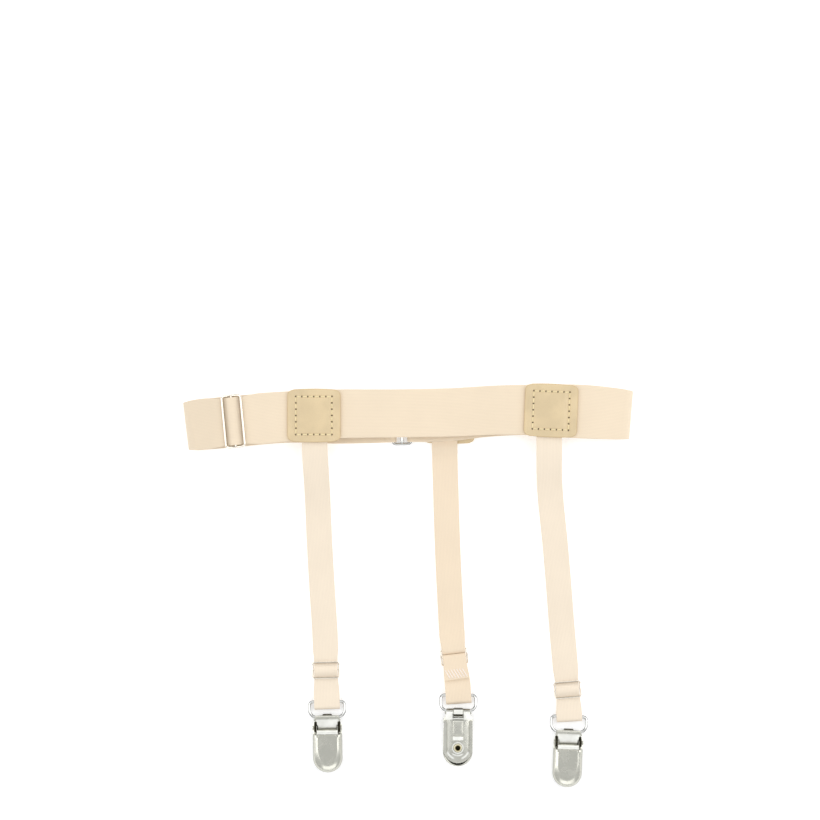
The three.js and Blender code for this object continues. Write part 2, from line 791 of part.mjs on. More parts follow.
function leverGeometry() {
  const bridge = new Course(ROLL_AT, rollLevel + ROLL_RADIUS - SHEET / 2);
  bridge.ease(COVER_START + 3 * SHEET, CLIP_HEIGHT - SHEET / 2);
  const lug = stadium(PIVOT_AT, pivotLevel, ROLL_AT, rollLevel, ROLL_RADIUS);
  const joined = [
    coverGeometry(),
    strip(bridge, SHEET, ({ along, up }) => ({
      middle: new THREE.Vector3(along, 0, up),
      across: new THREE.Vector3(0, 1, 0),
      width: ROLL_WIDTH - 2 * GAP,
    })),
    crossBar(ROLL_AT, rollLevel, ROLL_RADIUS, -lugOuter, lugOuter, 12),
  ];
  for (const side of [-1, 1]) {
    const [near, far] = [side * (lugOuter - SHEET), side * lugOuter].sort((a, b) => a - b);
    joined.push(sidePlate(lug, near, far, 4));
    const [pinNear, pinFar] = [side * (lugOuter - SHEET / 2), side * headOuter].sort((a, b) => a - b);
    joined.push(crossBar(PIVOT_AT, pivotLevel, PIVOT_RADIUS, pinNear, pinFar, 10));
    const [headNear, headFar] = [side * headInner, side * headOuter].sort((a, b) => a - b);
    joined.push(crossBar(PIVOT_AT, pivotLevel, PIVOT_HEAD_RADIUS, headNear, headFar, 10));
  }
  const passage = block(ROLL_AT, COVER_START + 4 * SHEET, earInner, 0, rollLevel - ROLL_RADIUS);
  return carve(joined, [passage]).translate(-PIVOT_AT, 0, -pivotLevel);
}

// The front jaw: a tab hooked round the ring bar and the base's end strip, a wide
// shoulder plate over the bar and a narrower tongue under the cover
function jawGeometry() {
  const wrap = RING_WIRE / 2 + GAP + SHEET / 2;
  const heel = wrap + BASE_STRIP_START + GAP / 3;
  const tabLevel = SHEET / 2;
  const points = [];
  const curl = TAB_CURL;
  const tipAt = BASE_STRIP + SLOT_LENGTH / 2;
  points.push([tipAt, webTop]);
  for (let i = 0; i <= 3; i += 1) {
    const angle = -(Math.PI / 2) * (i / 3);
    points.push([tipAt - curl + curl * Math.cos(angle), tabLevel + curl + curl * Math.sin(angle)]);
  }
  for (let i = 0; i <= 3; i += 1) {
    const angle = -Math.PI / 2 - (Math.PI / 2) * (i / 3);
    points.push([-wrap + heel + heel * Math.cos(angle), tabLevel + heel + heel * Math.sin(angle)]);
  }
  const arcSteps = 6;
  for (let i = 0; i <= arcSteps; i += 1) {
    const angle = Math.PI - (Math.PI / 2) * (i / arcSteps);
    points.push([wrap * Math.cos(angle), ringBarLevel + wrap * Math.sin(angle)]);
  }
  const course = new Course(points[0][0], points[0][1]);
  for (const [along, up] of points.slice(1)) course.add(along, up);
  const curlTop = ringBarLevel + wrap * 0.75;
  const neckEnd = PIVOT_AT - ROLL_RADIUS - 2 * GAP;
  const step = SHEET / 2;
  course.run(SHOULDER_END);
  course.run(SHOULDER_END + step);
  course.run(neckEnd);
  course.run(neckEnd + step);
  course.ease(ROLL_AT, jawLevel);
  course.run(JAW_REACH);
  const width = ({ along, up }) => {
    if (up < curlTop) return TAB_WIDTH;
    if (along <= SHOULDER_END) return SHOULDER_WIDTH;
    return along <= neckEnd ? NECK_WIDTH : JAW_WIDTH;
  };
  return strip(course, SHEET, (point) => ({
    middle: new THREE.Vector3(point.along, 0, point.up),
    across: new THREE.Vector3(0, 1, 0),
    width: width(point),
  })).translate(0, 0, -ringBarLevel);
}

function baseGeometry() {
  const half = BASE_WIDTH / 2;
  const tipMiddle = baseReach - half;
  const neck = BASE_NECK_WIDTH / 2;
  const flare = half - neck;
  const web = new THREE.Shape();
  web.moveTo(BASE_STRIP_START, -neck);
  web.lineTo(BASE_NECK_END, -neck);
  web.quadraticCurveTo(BASE_NECK_END + flare, -half, BASE_NECK_END + 2 * flare, -half);
  web.lineTo(tipMiddle, -half);
  web.absarc(tipMiddle, 0, half, -Math.PI / 2, Math.PI / 2, false);
  web.lineTo(BASE_NECK_END + 2 * flare, half);
  web.quadraticCurveTo(BASE_NECK_END + flare, half, BASE_NECK_END, neck);
  web.lineTo(BASE_STRIP_START, neck);
  const joined = [prism(web, ribDepth, webTop, 7)];
  const bury = ribDepth + SHEET / 2;
  const ribRadius = SIDE_RIB_WIDTH / 2;
  const sideRib = half - ribRadius - GAP / 3;
  const ribStart = SIDE_RIB_START + ribRadius;
  const ribEnd = SIDE_RIB_START + SIDE_RIB_LENGTH - ribRadius;
  for (const side of [-1, 1]) {
    const outline = stadium(ribStart, side * sideRib, ribEnd, side * sideRib, ribRadius);
    joined.push(prism(outline, 0, bury, 3));
  }
  const panelEnd = PANEL_START + PANEL_LENGTH;
  joined.push(block(PANEL_START, panelEnd, PANEL_WIDTH / 2, ribDepth - PANEL_RELIEF, bury));
  const embossEnd = EMBOSS_START + EMBOSS_LENGTH;
  joined.push(block(EMBOSS_START, embossEnd, EMBOSS_WIDTH / 2, ribDepth - RELIEF, bury));
  const ear = new THREE.Shape();
  ear.moveTo(PIVOT_AT - EAR_ROOT / 2, ribDepth + SHEET / 4);
  ear.lineTo(PIVOT_AT + EAR_ROOT / 2, ribDepth + SHEET / 4);
  ear.lineTo(PIVOT_AT + EAR_RADIUS, pivotLevel);
  ear.absarc(PIVOT_AT, pivotLevel, EAR_RADIUS, 0, Math.PI, false);
  for (const side of [-1, 1]) {
    const [near, far] = [side * earInner, side * earOuter].sort((a, b) => a - b);
    joined.push(sidePlate(ear, near, far, 6));
  }
  const slotHalf = TAB_WIDTH / 2 + 2 * GAP;
  return carve(joined, [
    block(BASE_STRIP, BASE_STRIP + SLOT_LENGTH, slotHalf, 0, webTop + SHEET),
    crossBar(PIVOT_AT, pivotLevel, pinHole, -half, half, 12),
    upright(EYELET_AT, eyeletRoom, 0, 2 * webTop, EYELET_SIDES),
  ]);
}

function eyeletGeometry() {
  const rimHigh = ribDepth - GAP;
  const rimLow = rimHigh - RELIEF;
  const outer = EYELET_HOLE + EYELET_WALL;
  const top = webTop + GAP + 0.7 * PAD_THICKNESS;
  const round = 0.4 * RELIEF;
  const profile = [
    [EYELET_HOLE, rimLow], [EYELET_RIM - round, rimLow], [EYELET_RIM, rimLow + round],
    [EYELET_RIM, rimHigh], [outer, rimHigh], [outer, top], [EYELET_HOLE, top],
    [EYELET_HOLE, rimLow],
  ].map(([radius, level]) => new THREE.Vector2(radius, level));
  return new THREE.LatheGeometry(profile, EYELET_SIDES).rotateX(Math.PI / 2).translate(EYELET_AT, 0, 0);
}

function padGeometry() {
  const half = PAD_WIDTH / 2;
  const tipMiddle = baseReach - half - GAP;
  const outline = new THREE.Shape();
  outline.moveTo(EYELET_AT - half, -half);
  outline.lineTo(tipMiddle, -half);
  outline.absarc(tipMiddle, 0, half, -Math.PI / 2, Math.PI / 2, false);
  outline.lineTo(EYELET_AT - half, half);
  const hole = new THREE.Path();
  hole.absarc(EYELET_AT, 0, eyeletRoom, 0, 2 * Math.PI, true);
  outline.holes.push(hole);
  return prism(outline, webTop + GAP, webTop + GAP + PAD_THICKNESS, 5);
}

// Assembly

const stay = new THREE.Group();

function place(parent, name, geometry, finish, position = [0, 0, 0]) {
  const mesh = new THREE.Mesh(geometry, material(finish));
  mesh.name = name;
  mesh.position.set(...position);
  parent.add(mesh);
  return mesh;
}

place(stay, 'thigh_band', strip(bandCourse(), BAND_THICKNESS, bandPlace), ELASTIC);

function placeOnBand(name, share, layer, level, geometry) {
  const along = share * LOOP_LENGTH;
  const { middle, across } = bandPlace({ along, up: level, layer });
  const mesh = place(stay, name, geometry, CHROME, [middle.x, middle.y, level]);
  mesh.rotation.z = Math.atan2(-across.x, across.y);
}

placeOnBand('band_slider', BAND_SLIDER_PLACE, 0, bandSliderLevel, sliderGeometry(
  BAND_SLIDER_SPAN, BAND_SLIDER_ROOM, BAND_SLIDER_WIRE, BAND_SLIDER_BOW, 0,
));
placeOnBand('clasp', CLASP_PLACE, 1, claspLevel, sliderGeometry(
  CLASP_SPAN, BAND_SLIDER_ROOM, BAND_SLIDER_WIRE, 0, 0,
));

for (const strap of STRAPS) {
  const levels = strapLevels(strap);
  const onStrap = strapPlace(strap);
  const origin = strapOrigin(strap);
  const facing = strap.faceUp ? 1 : -1;
  place(stay, `${strap.name}_strap`, strip(strapCourse(strap), STRAP_THICKNESS, onStrap), ELASTIC);

  const patchLevel = strap.faceUp
    ? levels.start + STRAP_THICKNESS / 2 + GAP
    : PATCH_THICKNESS;
  const strapShift = onStrap({ along: 0, up: 0 }).middle.x - origin.x;
  const patch = place(stay, `${strap.name}_patch`, patchGeometry(strapShift), LEATHER, [
    origin.x, origin.y, patchLevel,
  ]);
  patch.rotation.set(strap.faceUp ? 0 : Math.PI, 0, THREE.MathUtils.degToRad(strap.patchTurn));

  const slider = onStrap({ along: strap.reach - strap.sliderBack, up: levels.bar });
  const lift = facing * strapPitch;
  const sliderMesh = place(stay, `${strap.name}_strap_slider`, sliderGeometry(
    STRAP_SLIDER_SPAN, STRAP_SLIDER_ROOM, STRAP_SLIDER_WIRE, lift, lift,
  ), CHROME, slider.middle.toArray());
  sliderMesh.rotation.z = Math.atan2(slider.across.y, slider.across.x) - Math.PI / 2;

  const end = onStrap({ along: strap.reach, up: levels.ring });
  const clipBar = strap.faceUp ? ringBarLevel : CLIP_HEIGHT - ringBarLevel;
  const turn = THREE.MathUtils.degToRad(strap.clipTurn) - Math.PI / 2;
  const ring = place(stay, `${strap.name}_clip_ring`, ringGeometry(clipBar - levels.ring), CHROME, [
    end.middle.x, end.middle.y, levels.ring,
  ]);
  ring.rotation.z = turn;

  const clip = new THREE.Group();
  clip.position.set(
    end.middle.x + RING_SPAN * Math.cos(turn),
    end.middle.y + RING_SPAN * Math.sin(turn),
    strap.faceUp ? 0 : CLIP_HEIGHT,
  );
  clip.rotation.z = turn;
  const face = new THREE.Group();
  face.rotation.x = strap.faceUp ? 0 : Math.PI;
  clip.add(face);
  stay.add(clip);
  place(face, `${strap.name}_clip_base`, baseGeometry(), NICKEL);
  place(face, `${strap.name}_clip_jaw`, jawGeometry(), NICKEL, [0, 0, ringBarLevel]);
  place(face, `${strap.name}_clip_lever`, leverGeometry(), NICKEL, [PIVOT_AT, 0, pivotLevel]);
  place(face, `${strap.name}_clip_eyelet`, eyeletGeometry(), BRASS);
  place(face, `${strap.name}_grip_pad`, padGeometry(), RUBBER);
}

stay.updateMatrixWorld(true);
const bounds = new THREE.Box3().setFromObject(stay, true);
stay.position.set(
  -(bounds.min.x + bounds.max.x) / 2,
  -(bounds.min.y + bounds.max.y) / 2,
  -bounds.min.z,
);
stay.updateMatrixWorld(true);

export default stay;
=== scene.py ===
"""A shirt stay laid flat: woven elastic, stitched leather patches, wire and pressed clips.

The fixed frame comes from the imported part. Lengths in this file are millimetres until
a mesh is made, and metres after that.
"""

import math

import bmesh
import bpy
from mathutils import Matrix, Vector


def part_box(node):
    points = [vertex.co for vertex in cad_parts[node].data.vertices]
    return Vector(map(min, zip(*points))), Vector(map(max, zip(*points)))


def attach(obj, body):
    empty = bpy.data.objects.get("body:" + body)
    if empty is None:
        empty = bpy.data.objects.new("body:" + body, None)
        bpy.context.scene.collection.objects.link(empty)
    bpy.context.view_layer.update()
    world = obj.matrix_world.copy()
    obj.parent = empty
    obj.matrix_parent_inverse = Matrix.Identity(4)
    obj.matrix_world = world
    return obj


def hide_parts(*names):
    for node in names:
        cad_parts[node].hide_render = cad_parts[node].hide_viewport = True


bl_info = {
    "name": "Shirt Stay",
    "version": (1, 0, 0),
    "blender": (4, 5, 0),
    "location": "View3D > Sidebar > Shirt Stay",
    "description": "Dresses a shirt stay with elastic, leather and metal",
    "category": "Object",
}

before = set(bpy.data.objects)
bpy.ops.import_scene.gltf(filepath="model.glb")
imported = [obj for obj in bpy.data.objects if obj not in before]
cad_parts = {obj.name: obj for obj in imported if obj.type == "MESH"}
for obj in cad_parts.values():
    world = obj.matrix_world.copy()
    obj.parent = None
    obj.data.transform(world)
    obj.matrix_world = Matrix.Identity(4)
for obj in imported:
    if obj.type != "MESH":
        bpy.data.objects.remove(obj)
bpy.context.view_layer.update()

MM = 0.001
QUARTER = math.pi / 2
GAP = 0.3

# Thigh band, its slider and its clasp
LOOP_LENGTH = 261
LOOP_HEIGHT = 10.3
BAND_WIDTH = 30
BAND_THICKNESS = 1.0
BAND_TAIL = 7.5
BAND_SLIDER_WIRE = 1.5
BAND_SLIDER_SPAN = 10.8
BAND_SLIDER_BOW = 1.6
BAND_SLIDER_ROOM = 28.4
CLASP_SPAN = 10.3
CLASP_TAIL = 5.5

# Leather patches
PATCH_WIDTH = 31
PATCH_HEIGHT = 31.3
PATCH_THICKNESS = 1.3
PATCH_CORNER = 3.2
PATCH_BULGE = 0.7

# Straps, their sliders and their rings
STRAP_WIDTH = 15
STRAP_THICKNESS = 1.0
STRAP_TUCK = 11.5
STRAP_SLIDER_WIRE = 0.9
STRAP_SLIDER_SPAN = 9
STRAP_SLIDER_ROOM = 14.4
RING_WIRE = 1.7
RING_WIDTH = 22.3
RING_SPAN = 9.1
RING_STRAP_CORNER = 2.2
RING_CLIP_CORNER = 4.4

# Length of a change of level, as a multiple of its height
STRAP_FALL = 4.5
STRAP_CLIMB = 3.5
BAND_CLIMB = 2.5
CLASP_CLIMB = 3

# Garter clips: distances run from the ring bar to the tip
SHEET = 0.7
CLIP_REACH = 32.4
CLIP_WIDTH = 17.3
CLIP_HEIGHT = 7
COVER_START = 9.3
COVER_SIDE_BEVEL = 3
COVER_TAPER = 2.3
COVER_TIP_BEVEL = 4.8
COVER_REAR_BEVEL = 0.9
COVER_CORNER = 1.2
COVER_SKIRT = 0.17
COVER_BREAK = 17
COVER_FOOT = 88
COVER_OVERHANG = 2
BASE_REACH = CLIP_REACH - COVER_OVERHANG
BASE_WIDTH = 17
BASE_NECK_WIDTH = 14
BASE_NECK_END = 2.2
BASE_STRIP_START = -0.6
BASE_STRIP = 1.6
SLOT_LENGTH = 2.4
TAB_WIDTH = 5.4
TAB_CURL = 0.8
SHOULDER_WIDTH = 15.8
SHOULDER_EASE = 1
SHOULDER_END = 2.2
NECK_WIDTH = 12
JAW_WIDTH = 10.8
JAW_REACH = 27
PIVOT_AT = 5.9
PIVOT_RADIUS = 0.8
PIVOT_HEAD_RADIUS = 1.3
EAR_RADIUS = 2.2
EAR_ROOT = 5
ROLL_AT = 8.3
ROLL_RADIUS = 1.1
ROLL_WIDTH = 13.4
SIDE_RIB_START = 4.9
SIDE_RIB_LENGTH = 20
SIDE_RIB_WIDTH = 1.8
PANEL_START = 5.6
PANEL_LENGTH = 8.4
PANEL_WIDTH = 6.4
PANEL_RELIEF = 0.2
EMBOSS_START = 14.6
EMBOSS_LENGTH = 2.6
EMBOSS_MIDDLE = EMBOSS_START + EMBOSS_LENGTH / 2
EMBOSS_WIDTH = 6.8
RELIEF = 0.5
PAD_THICKNESS = 1.2
PAD_WIDTH = 12
EYELET_AT = 21.5
EYELET_HOLE = 1.35
EYELET_WALL = 0.4
EYELET_RIM = 2.5

# Thread
PATCH_STITCH_HALF_WIDTH = 10.5
PATCH_STITCH_HALF_HEIGHT = 11.05
HOLES_A_SIDE = 7
HOLE_RADIUS = 0.58
HOLE_DEPTH = 0.45
TACK_HALF_WIDTH = 6.2
TACK_LENGTH = 5.4
TACK_STROKES = 7
TACK_LEAN = 2.4
THREAD_STEEPNESS = 6.0
THREAD_THINNING = 0.55

# Floor, lights as (name, place, size, share of the power) in metres, and camera in mm
FLOOR_REACH = 3.0
SOFTBOXES = (
    ("left softbox", (-0.9, 0.1, 0.75), (0.9, 1.6), 1.0),
    ("right softbox", (0.9, 0.2, 0.75), (0.9, 1.6), 1.1),
    ("far softbox", (0.0, 1.2, 0.9), (1.6, 0.8), 0.8),
    ("near softbox", (0.1, -1.2, 0.8), (1.6, 0.8), 0.6),
)
CAMERA_SHIFT = Vector((0.88, 1.76, 0))

# How finely curves are cut
STEP_LENGTH = 3
ARC_STEP = math.pi / 24
WIRE_SIDES = 16
PATCH_RING_POINTS = 272

# Edges of pressed sheet, and the colours of its painted marks: painted highlights, and painted
# shade in gaps
SOFT_EDGE = 0.12
PAINTED_HIGHLIGHT_COLOUR = (0.97, 0.97, 0.93)
SHADOW_COLOUR = (0.03, 0.026, 0.01)

# Where painted shade fades in on the band's left end, which curves down to the table, from one x to
# the next in metres
SHADED_END = (-0.116, -0.106)

# The band's layers from the left fold to the right one: place as a share of the loop's
# length; offset, width and sag as shares of the band's width and the loop's height.
BAND_FRONT = [
    (-0.5, -0.262, 0.93, 0),
    (-0.47, -0.228, 0.99, 0),
    (-0.352, -0.127, 1.0, 0),
    (-0.28, -0.073, 0.98, 0),
    (-0.15, -0.015, 0.95, 0.01),
    (-0.09, -0.01, 0.94, 0.06),
    (-0.02, -0.007, 0.935, 0.02),
    (0.094, 0.012, 0.94, 0),
    (0.18, 0.05, 0.955, 0.1),
    (0.255, 0.063, 0.975, 0.02),
    (0.38, 0.033, 1.04, 0),
    (0.46, -0.012, 1.0, 0),
    (0.5, -0.043, 0.95, 0),
]
BAND_BACK = [
    (-0.5, -0.262),
    (-0.42, -0.19),
    (-0.28, -0.095),
    (-0.15, -0.125),
    (-0.02, -0.108),
    (0.094, -0.078),
    (0.16, -0.005),
    (0.255, 0.052),
    (0.38, 0.025),
    (0.5, -0.043),
]
BAND_SLIDER_PLACE = -0.392
CLASP_PLACE = -0.0157
BACK_PATCH_PLACE = 0.0897

# Patch place, drop and turn, reach from patch to ring, slider's distance from the
# ring, tail, where the strap starts to fold back past the ring's bar, clip's turn,
# and the course as (along, aside) shares of the reach.
STRAPS = {
    "left": {
        "face_up": True,
        "place": -0.2115,
        "drop": 0.3,
        "patch_turn": 0,
        "reach": 168,
        "slider_back": 18.6,
        "tail": 11,
        "fold": 2.4,
        "clip_turn": 1,
        "course": [
            (-0.07, 0.002), (0.09, 0.002), (0.25, 0.0095), (0.43, 0.0165),
            (0.6, 0.026), (0.78, 0.0372), (0.9, 0.04), (1, 0.0435),
        ],
    },
    "right": {
        "face_up": True,
        "place": 0.3188,
        "drop": 0.1,
        "patch_turn": -2.3,
        "reach": 179.6,
        "slider_back": 15.8,
        "tail": 8,
        "fold": 1,
        "clip_turn": -2.2,
        "course": [
            (-0.07, -0.008), (0.097, -0.006), (0.23, -0.0034), (0.425, 0.0155),
            (0.556, 0.027), (0.688, 0.037), (0.82, 0.0485), (0.95, 0.0595), (1, 0.062),
        ],
    },
    "back": {
        "face_up": False,
        "place": BACK_PATCH_PLACE,
        "drop": 0,
        "patch_turn": 0.5,
        "reach": 163.2,
        "slider_back": 22.5,
        "tail": 13,
        "fold": 3,
        "clip_turn": -0.7,
        "course": [
            (-0.07, -0.0134), (0.097, -0.0134), (0.297, -0.0082), (0.51, -0.001),
            (0.654, 0.0061), (0.797, 0.0142), (0.903, 0.0257), (0.96, 0.0332), (1, 0.0358),
        ],
    },
}

# Levels above the table that follow from the thicknesses
BAND_PITCH = BAND_THICKNESS + GAP
STRAP_PITCH = STRAP_THICKNESS + GAP
FRONT_LEVEL = LOOP_HEIGHT - BAND_THICKNESS / 2
BACK_LEVEL = BAND_THICKNESS / 2
BAND_WRAP = BAND_SLIDER_WIRE / 2 + GAP + BAND_THICKNESS / 2
STRAP_WRAP = STRAP_SLIDER_WIRE / 2 + GAP + STRAP_THICKNESS / 2
RING_WRAP = RING_WIRE / 2 + GAP + STRAP_THICKNESS / 2
BAND_SLIDER_LEVEL = FRONT_LEVEL + BAND_WRAP - BAND_SLIDER_BOW
CLASP_LEVEL = BACK_LEVEL + BAND_WRAP
BACK_PATCH_LIFT = PATCH_THICKNESS + GAP + STRAP_THICKNESS + GAP
RIB_DEPTH = SHEET + GAP
WEB_TOP = RIB_DEPTH + SHEET
RING_BAR_LEVEL = WEB_TOP + GAP + RING_WIRE / 2
RING_HUG = RING_WIRE / 2 + GAP + SHEET / 2
SHOULDER_LEVEL = RING_BAR_LEVEL + RING_WIRE / 2 + GAP + SHEET / 2
JAW_LEVEL = WEB_TOP + GAP + PAD_THICKNESS + GAP + SHEET / 2
PIVOT_LEVEL = SHOULDER_LEVEL + SHEET / 2
ROLL_LEVEL = JAW_LEVEL + SHEET / 2 + GAP + ROLL_RADIUS
LUG_OUTER = ROLL_WIDTH / 2
EAR_INNER = LUG_OUTER + GAP
EAR_OUTER = EAR_INNER + SHEET
HEAD_INNER = EAR_OUTER + GAP
HEAD_OUTER = HEAD_INNER + SHEET

# Painted highlights and painted shade on the clips, in the clip's own frame: middle and reach
# along, middle and reach aside, soft edge, levels where it fades in and fades out, and strength.
PAINTED_HIGHLIGHT_MARKS = (
    (3.3, 2.3, 0, 6.6, 0.6, (3.7, 3.9), None, 0.9),  # shoulder of the jaw
    (8.3, 1.2, 0, 6.2, 0.2, (4.5, 4.7), None, 0.9),  # rear lip of the cover
    (2.6, 2.2, 5.2, 2.0, 0.5, None, (1.05, 1.25), 1),  # neck of the back plate
    (3.6, 0.8, 0, 3.3, 0.1, None, (4.3, 4.4), 1.2),  # plate beyond the slot
    (EMBOSS_MIDDLE, 1.1, 0, EMBOSS_WIDTH / 2, 0.2, None, (0.85, 0.95), 1),  # pressed bar
    (0.2, 1.9, 0, TAB_WIDTH / 2 - 0.2, 0.2, None, (1.0, 1.2), 1),  # tab of the jaw
)
SHADOW_MARKS = (
    (5.7, 3.3, 6.95, 0.8, 0.2, (1.4, 1.6), None, 1),  # gaps beside the neck
    (6.3, 0.65, 0, 7, 0.2, (3.0, 3.3), (4.4, 4.6), 0.8),  # under the cover's lip
    (BASE_STRIP + 0.6, 0.6, 0, 3.2, 0.1, None, (3.0, 3.2), 1),  # the tab's slot
)
# Distances from the eyelet's middle: pressed dimple, outer and inner arc (painted highlights),
# seat and bore (painted shade)
DIMPLE_AT, ARC_AT, INNER_ARC_AT, SEAT_AT = 3.08, 6.5, 4.5, 2.6
BORE = (1.5, 1.8)


# Small helpers


def lerp(start, end, share):
    return start + (end - start) * share


def smoothstep(value, low, high):
    share = min(max((value - low) / (high - low), 0), 1)
    return share * share * (3 - 2 * share)


def follow(table, column, place):
    """Value of one column of a table at a place, along a smooth curve through its rows."""
    last = len(table) - 2
    row = next((i for i in range(last + 1) if place <= table[i + 1][0]), last)

    def slope(i):
        before = table[max(i - 1, 0)]
        after = table[min(i + 1, len(table) - 1)]
        return (after[column] - before[column]) / (after[0] - before[0])

    start, end = table[row], table[row + 1]
    length = end[0] - start[0]
    whole = (place - start[0]) / length
    t = min(max(whole, 0), 1)
    beyond = whole - t
    curved = (
        (2 * t**3 - 3 * t**2 + 1) * start[column]
        + (t**3 - 2 * t**2 + t) * length * slope(row)
        + (3 * t**2 - 2 * t**3) * end[column]
        + (t**3 - t**2) * length * slope(row + 1)
    )
    return curved + beyond * length * slope(row + 1 if beyond > 0 else row)


class Course:
    """A layer's line seen from the side, level at every place that is named."""

    def __init__(self, along, up, layer=0):
        self.points = [(along, up, layer)]
        self.forward = 1

    def add(self, along, up, layer=None):
        self.points.append((along, up, self.points[-1][2] if layer is None else layer))

    def run(self, along):
        start, up, _ = self.points[-1]
        steps = max(1, math.ceil(abs(along - start) / STEP_LENGTH))
        self.forward = math.copysign(1, along - start)
        for i in range(1, steps + 1):
            self.add(lerp(start, along, i / steps), up)

    def ease(self, along, up, nest=0):
        """A pair of arcs; nest widens the first and tightens the second."""
        start, low, _ = self.points[-1]
        length, rise = abs(along - start), abs(up - low)
        upward = math.copysign(1, up - low)
        self.forward = math.copysign(1, along - start)
        angle = 2 * math.atan2(rise, length)
        half = length / math.sin(angle) / 2
        steps = max(4, math.ceil(angle / ARC_STEP))

        def arc(radius, turned):
            over = self.forward * radius * math.sin(turned)
            return over, upward * radius * (1 - math.cos(turned))

        for i in range(1, steps + 1):
            over, lift = arc(half + nest, angle * i / steps)
            self.add(start + over, low + lift)
        for i in range(steps - 1, -1, -1):
            over, lift = arc(half - nest, angle * i / steps)
            self.add(along - over, up - lift)

    def turn(self, up, layer=None):
        """A half turn to another level."""
        start, low, from_layer = self.points[-1]
        layer = from_layer if layer is None else layer
        radius = (up - low) / 2
        steps = round(math.pi / ARC_STEP)
        for i in range(1, steps + 1):
            turned = math.pi * i / steps
            over = self.forward * abs(radius) * math.sin(turned)
            lift = radius * (1 - math.cos(turned))
            self.add(start + over, low + lift, lerp(from_layer, layer, i / steps))
        self.forward = -self.forward


def slope_of(line, share, length):
    """How far a line turns aside at a share of its length."""
    step = 0.01
    return (line(share + step) - line(share - step)) / (2 * step * length)


def pinch(distance, span, room, width):
    """Width of a strip that a slider gathers in."""
    share = smoothstep(abs(distance), span / 2, 1.5 * span)
    return lerp(min(width, room - 2 * GAP), width, share)


def band_place(along, up, layer):
    """Middle, direction across and width of the band at a place along its loop."""
    place = along / LOOP_LENGTH

    def line(at):
        return BAND_WIDTH * lerp(follow(BAND_FRONT, 1, at), follow(BAND_BACK, 1, at), layer)

    sag = follow(BAND_FRONT, 3, place) * LOOP_HEIGHT * (1 - layer)
    width = follow(BAND_FRONT, 2, place) * BAND_WIDTH
    if layer < 0.5:
        distance, span = along - BAND_SLIDER_PLACE * LOOP_LENGTH, BAND_SLIDER_SPAN
    else:
        distance, span = along - CLASP_PLACE * LOOP_LENGTH, CLASP_SPAN
    width = pinch(distance, span, BAND_SLIDER_ROOM, width)
    across = Vector((-slope_of(line, place, LOOP_LENGTH), 1, 0)).normalized()
    return Vector((along, line(place), up - sag)), across, width


def band_course():
    slider = BAND_SLIDER_PLACE * LOOP_LENGTH
    slider_half = BAND_SLIDER_SPAN / 2
    clasp = CLASP_PLACE * LOOP_LENGTH
    clasp_half = CLASP_SPAN / 2
    patch = BACK_PATCH_PLACE * LOOP_LENGTH
    lifted = BACK_LEVEL + BACK_PATCH_LIFT
    fold_at = LOOP_LENGTH / 2 - LOOP_HEIGHT / 2
    wrap_top = BAND_SLIDER_LEVEL + BAND_WRAP
    patch_end = patch + PATCH_WIDTH / 2 + GAP
    course = Course(slider - BAND_TAIL, FRONT_LEVEL - 2 * BAND_PITCH)
    course.run(slider - 0.8 * slider_half)
    course.ease(slider, BAND_SLIDER_LEVEL - BAND_WRAP)
    course.turn(wrap_top)
    course.ease(slider - slider_half, FRONT_LEVEL - BAND_PITCH, -BAND_PITCH)
    course.run(-fold_at)
    course.turn(BACK_LEVEL + BAND_PITCH, 1)
    course.run(clasp - clasp_half - CLASP_CLIMB * BAND_WRAP)
    course.ease(clasp - clasp_half, CLASP_LEVEL + BAND_WRAP)
    course.turn(BACK_LEVEL)
    course.run(-fold_at)
    course.turn(FRONT_LEVEL, 0)
    course.run(slider - slider_half)
    course.ease(slider, wrap_top + BAND_PITCH)
    course.ease(slider + slider_half, FRONT_LEVEL)
    course.run(fold_at)
    course.turn(BACK_LEVEL, 1)
    course.run(patch_end + BAND_CLIMB * lifted)
    course.ease(patch_end, lifted)
    course.run(patch - PATCH_WIDTH / 2)
    course.ease(clasp + clasp_half, CLASP_LEVEL + BAND_WRAP)
    course.turn(BACK_LEVEL)
    course.run(clasp + clasp_half + CLASP_TAIL)
    return course


def plan_shift():
    """From the plan's own frame, along the band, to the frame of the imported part."""
    low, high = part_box("band_slider")
    middle = (low + high) / (2 * MM)
    spot = band_place(BAND_SLIDER_PLACE * LOOP_LENGTH, 0, 0)[0]
    return Vector((middle.x - spot.x, middle.y - spot.y, 0))


SHIFT = plan_shift()


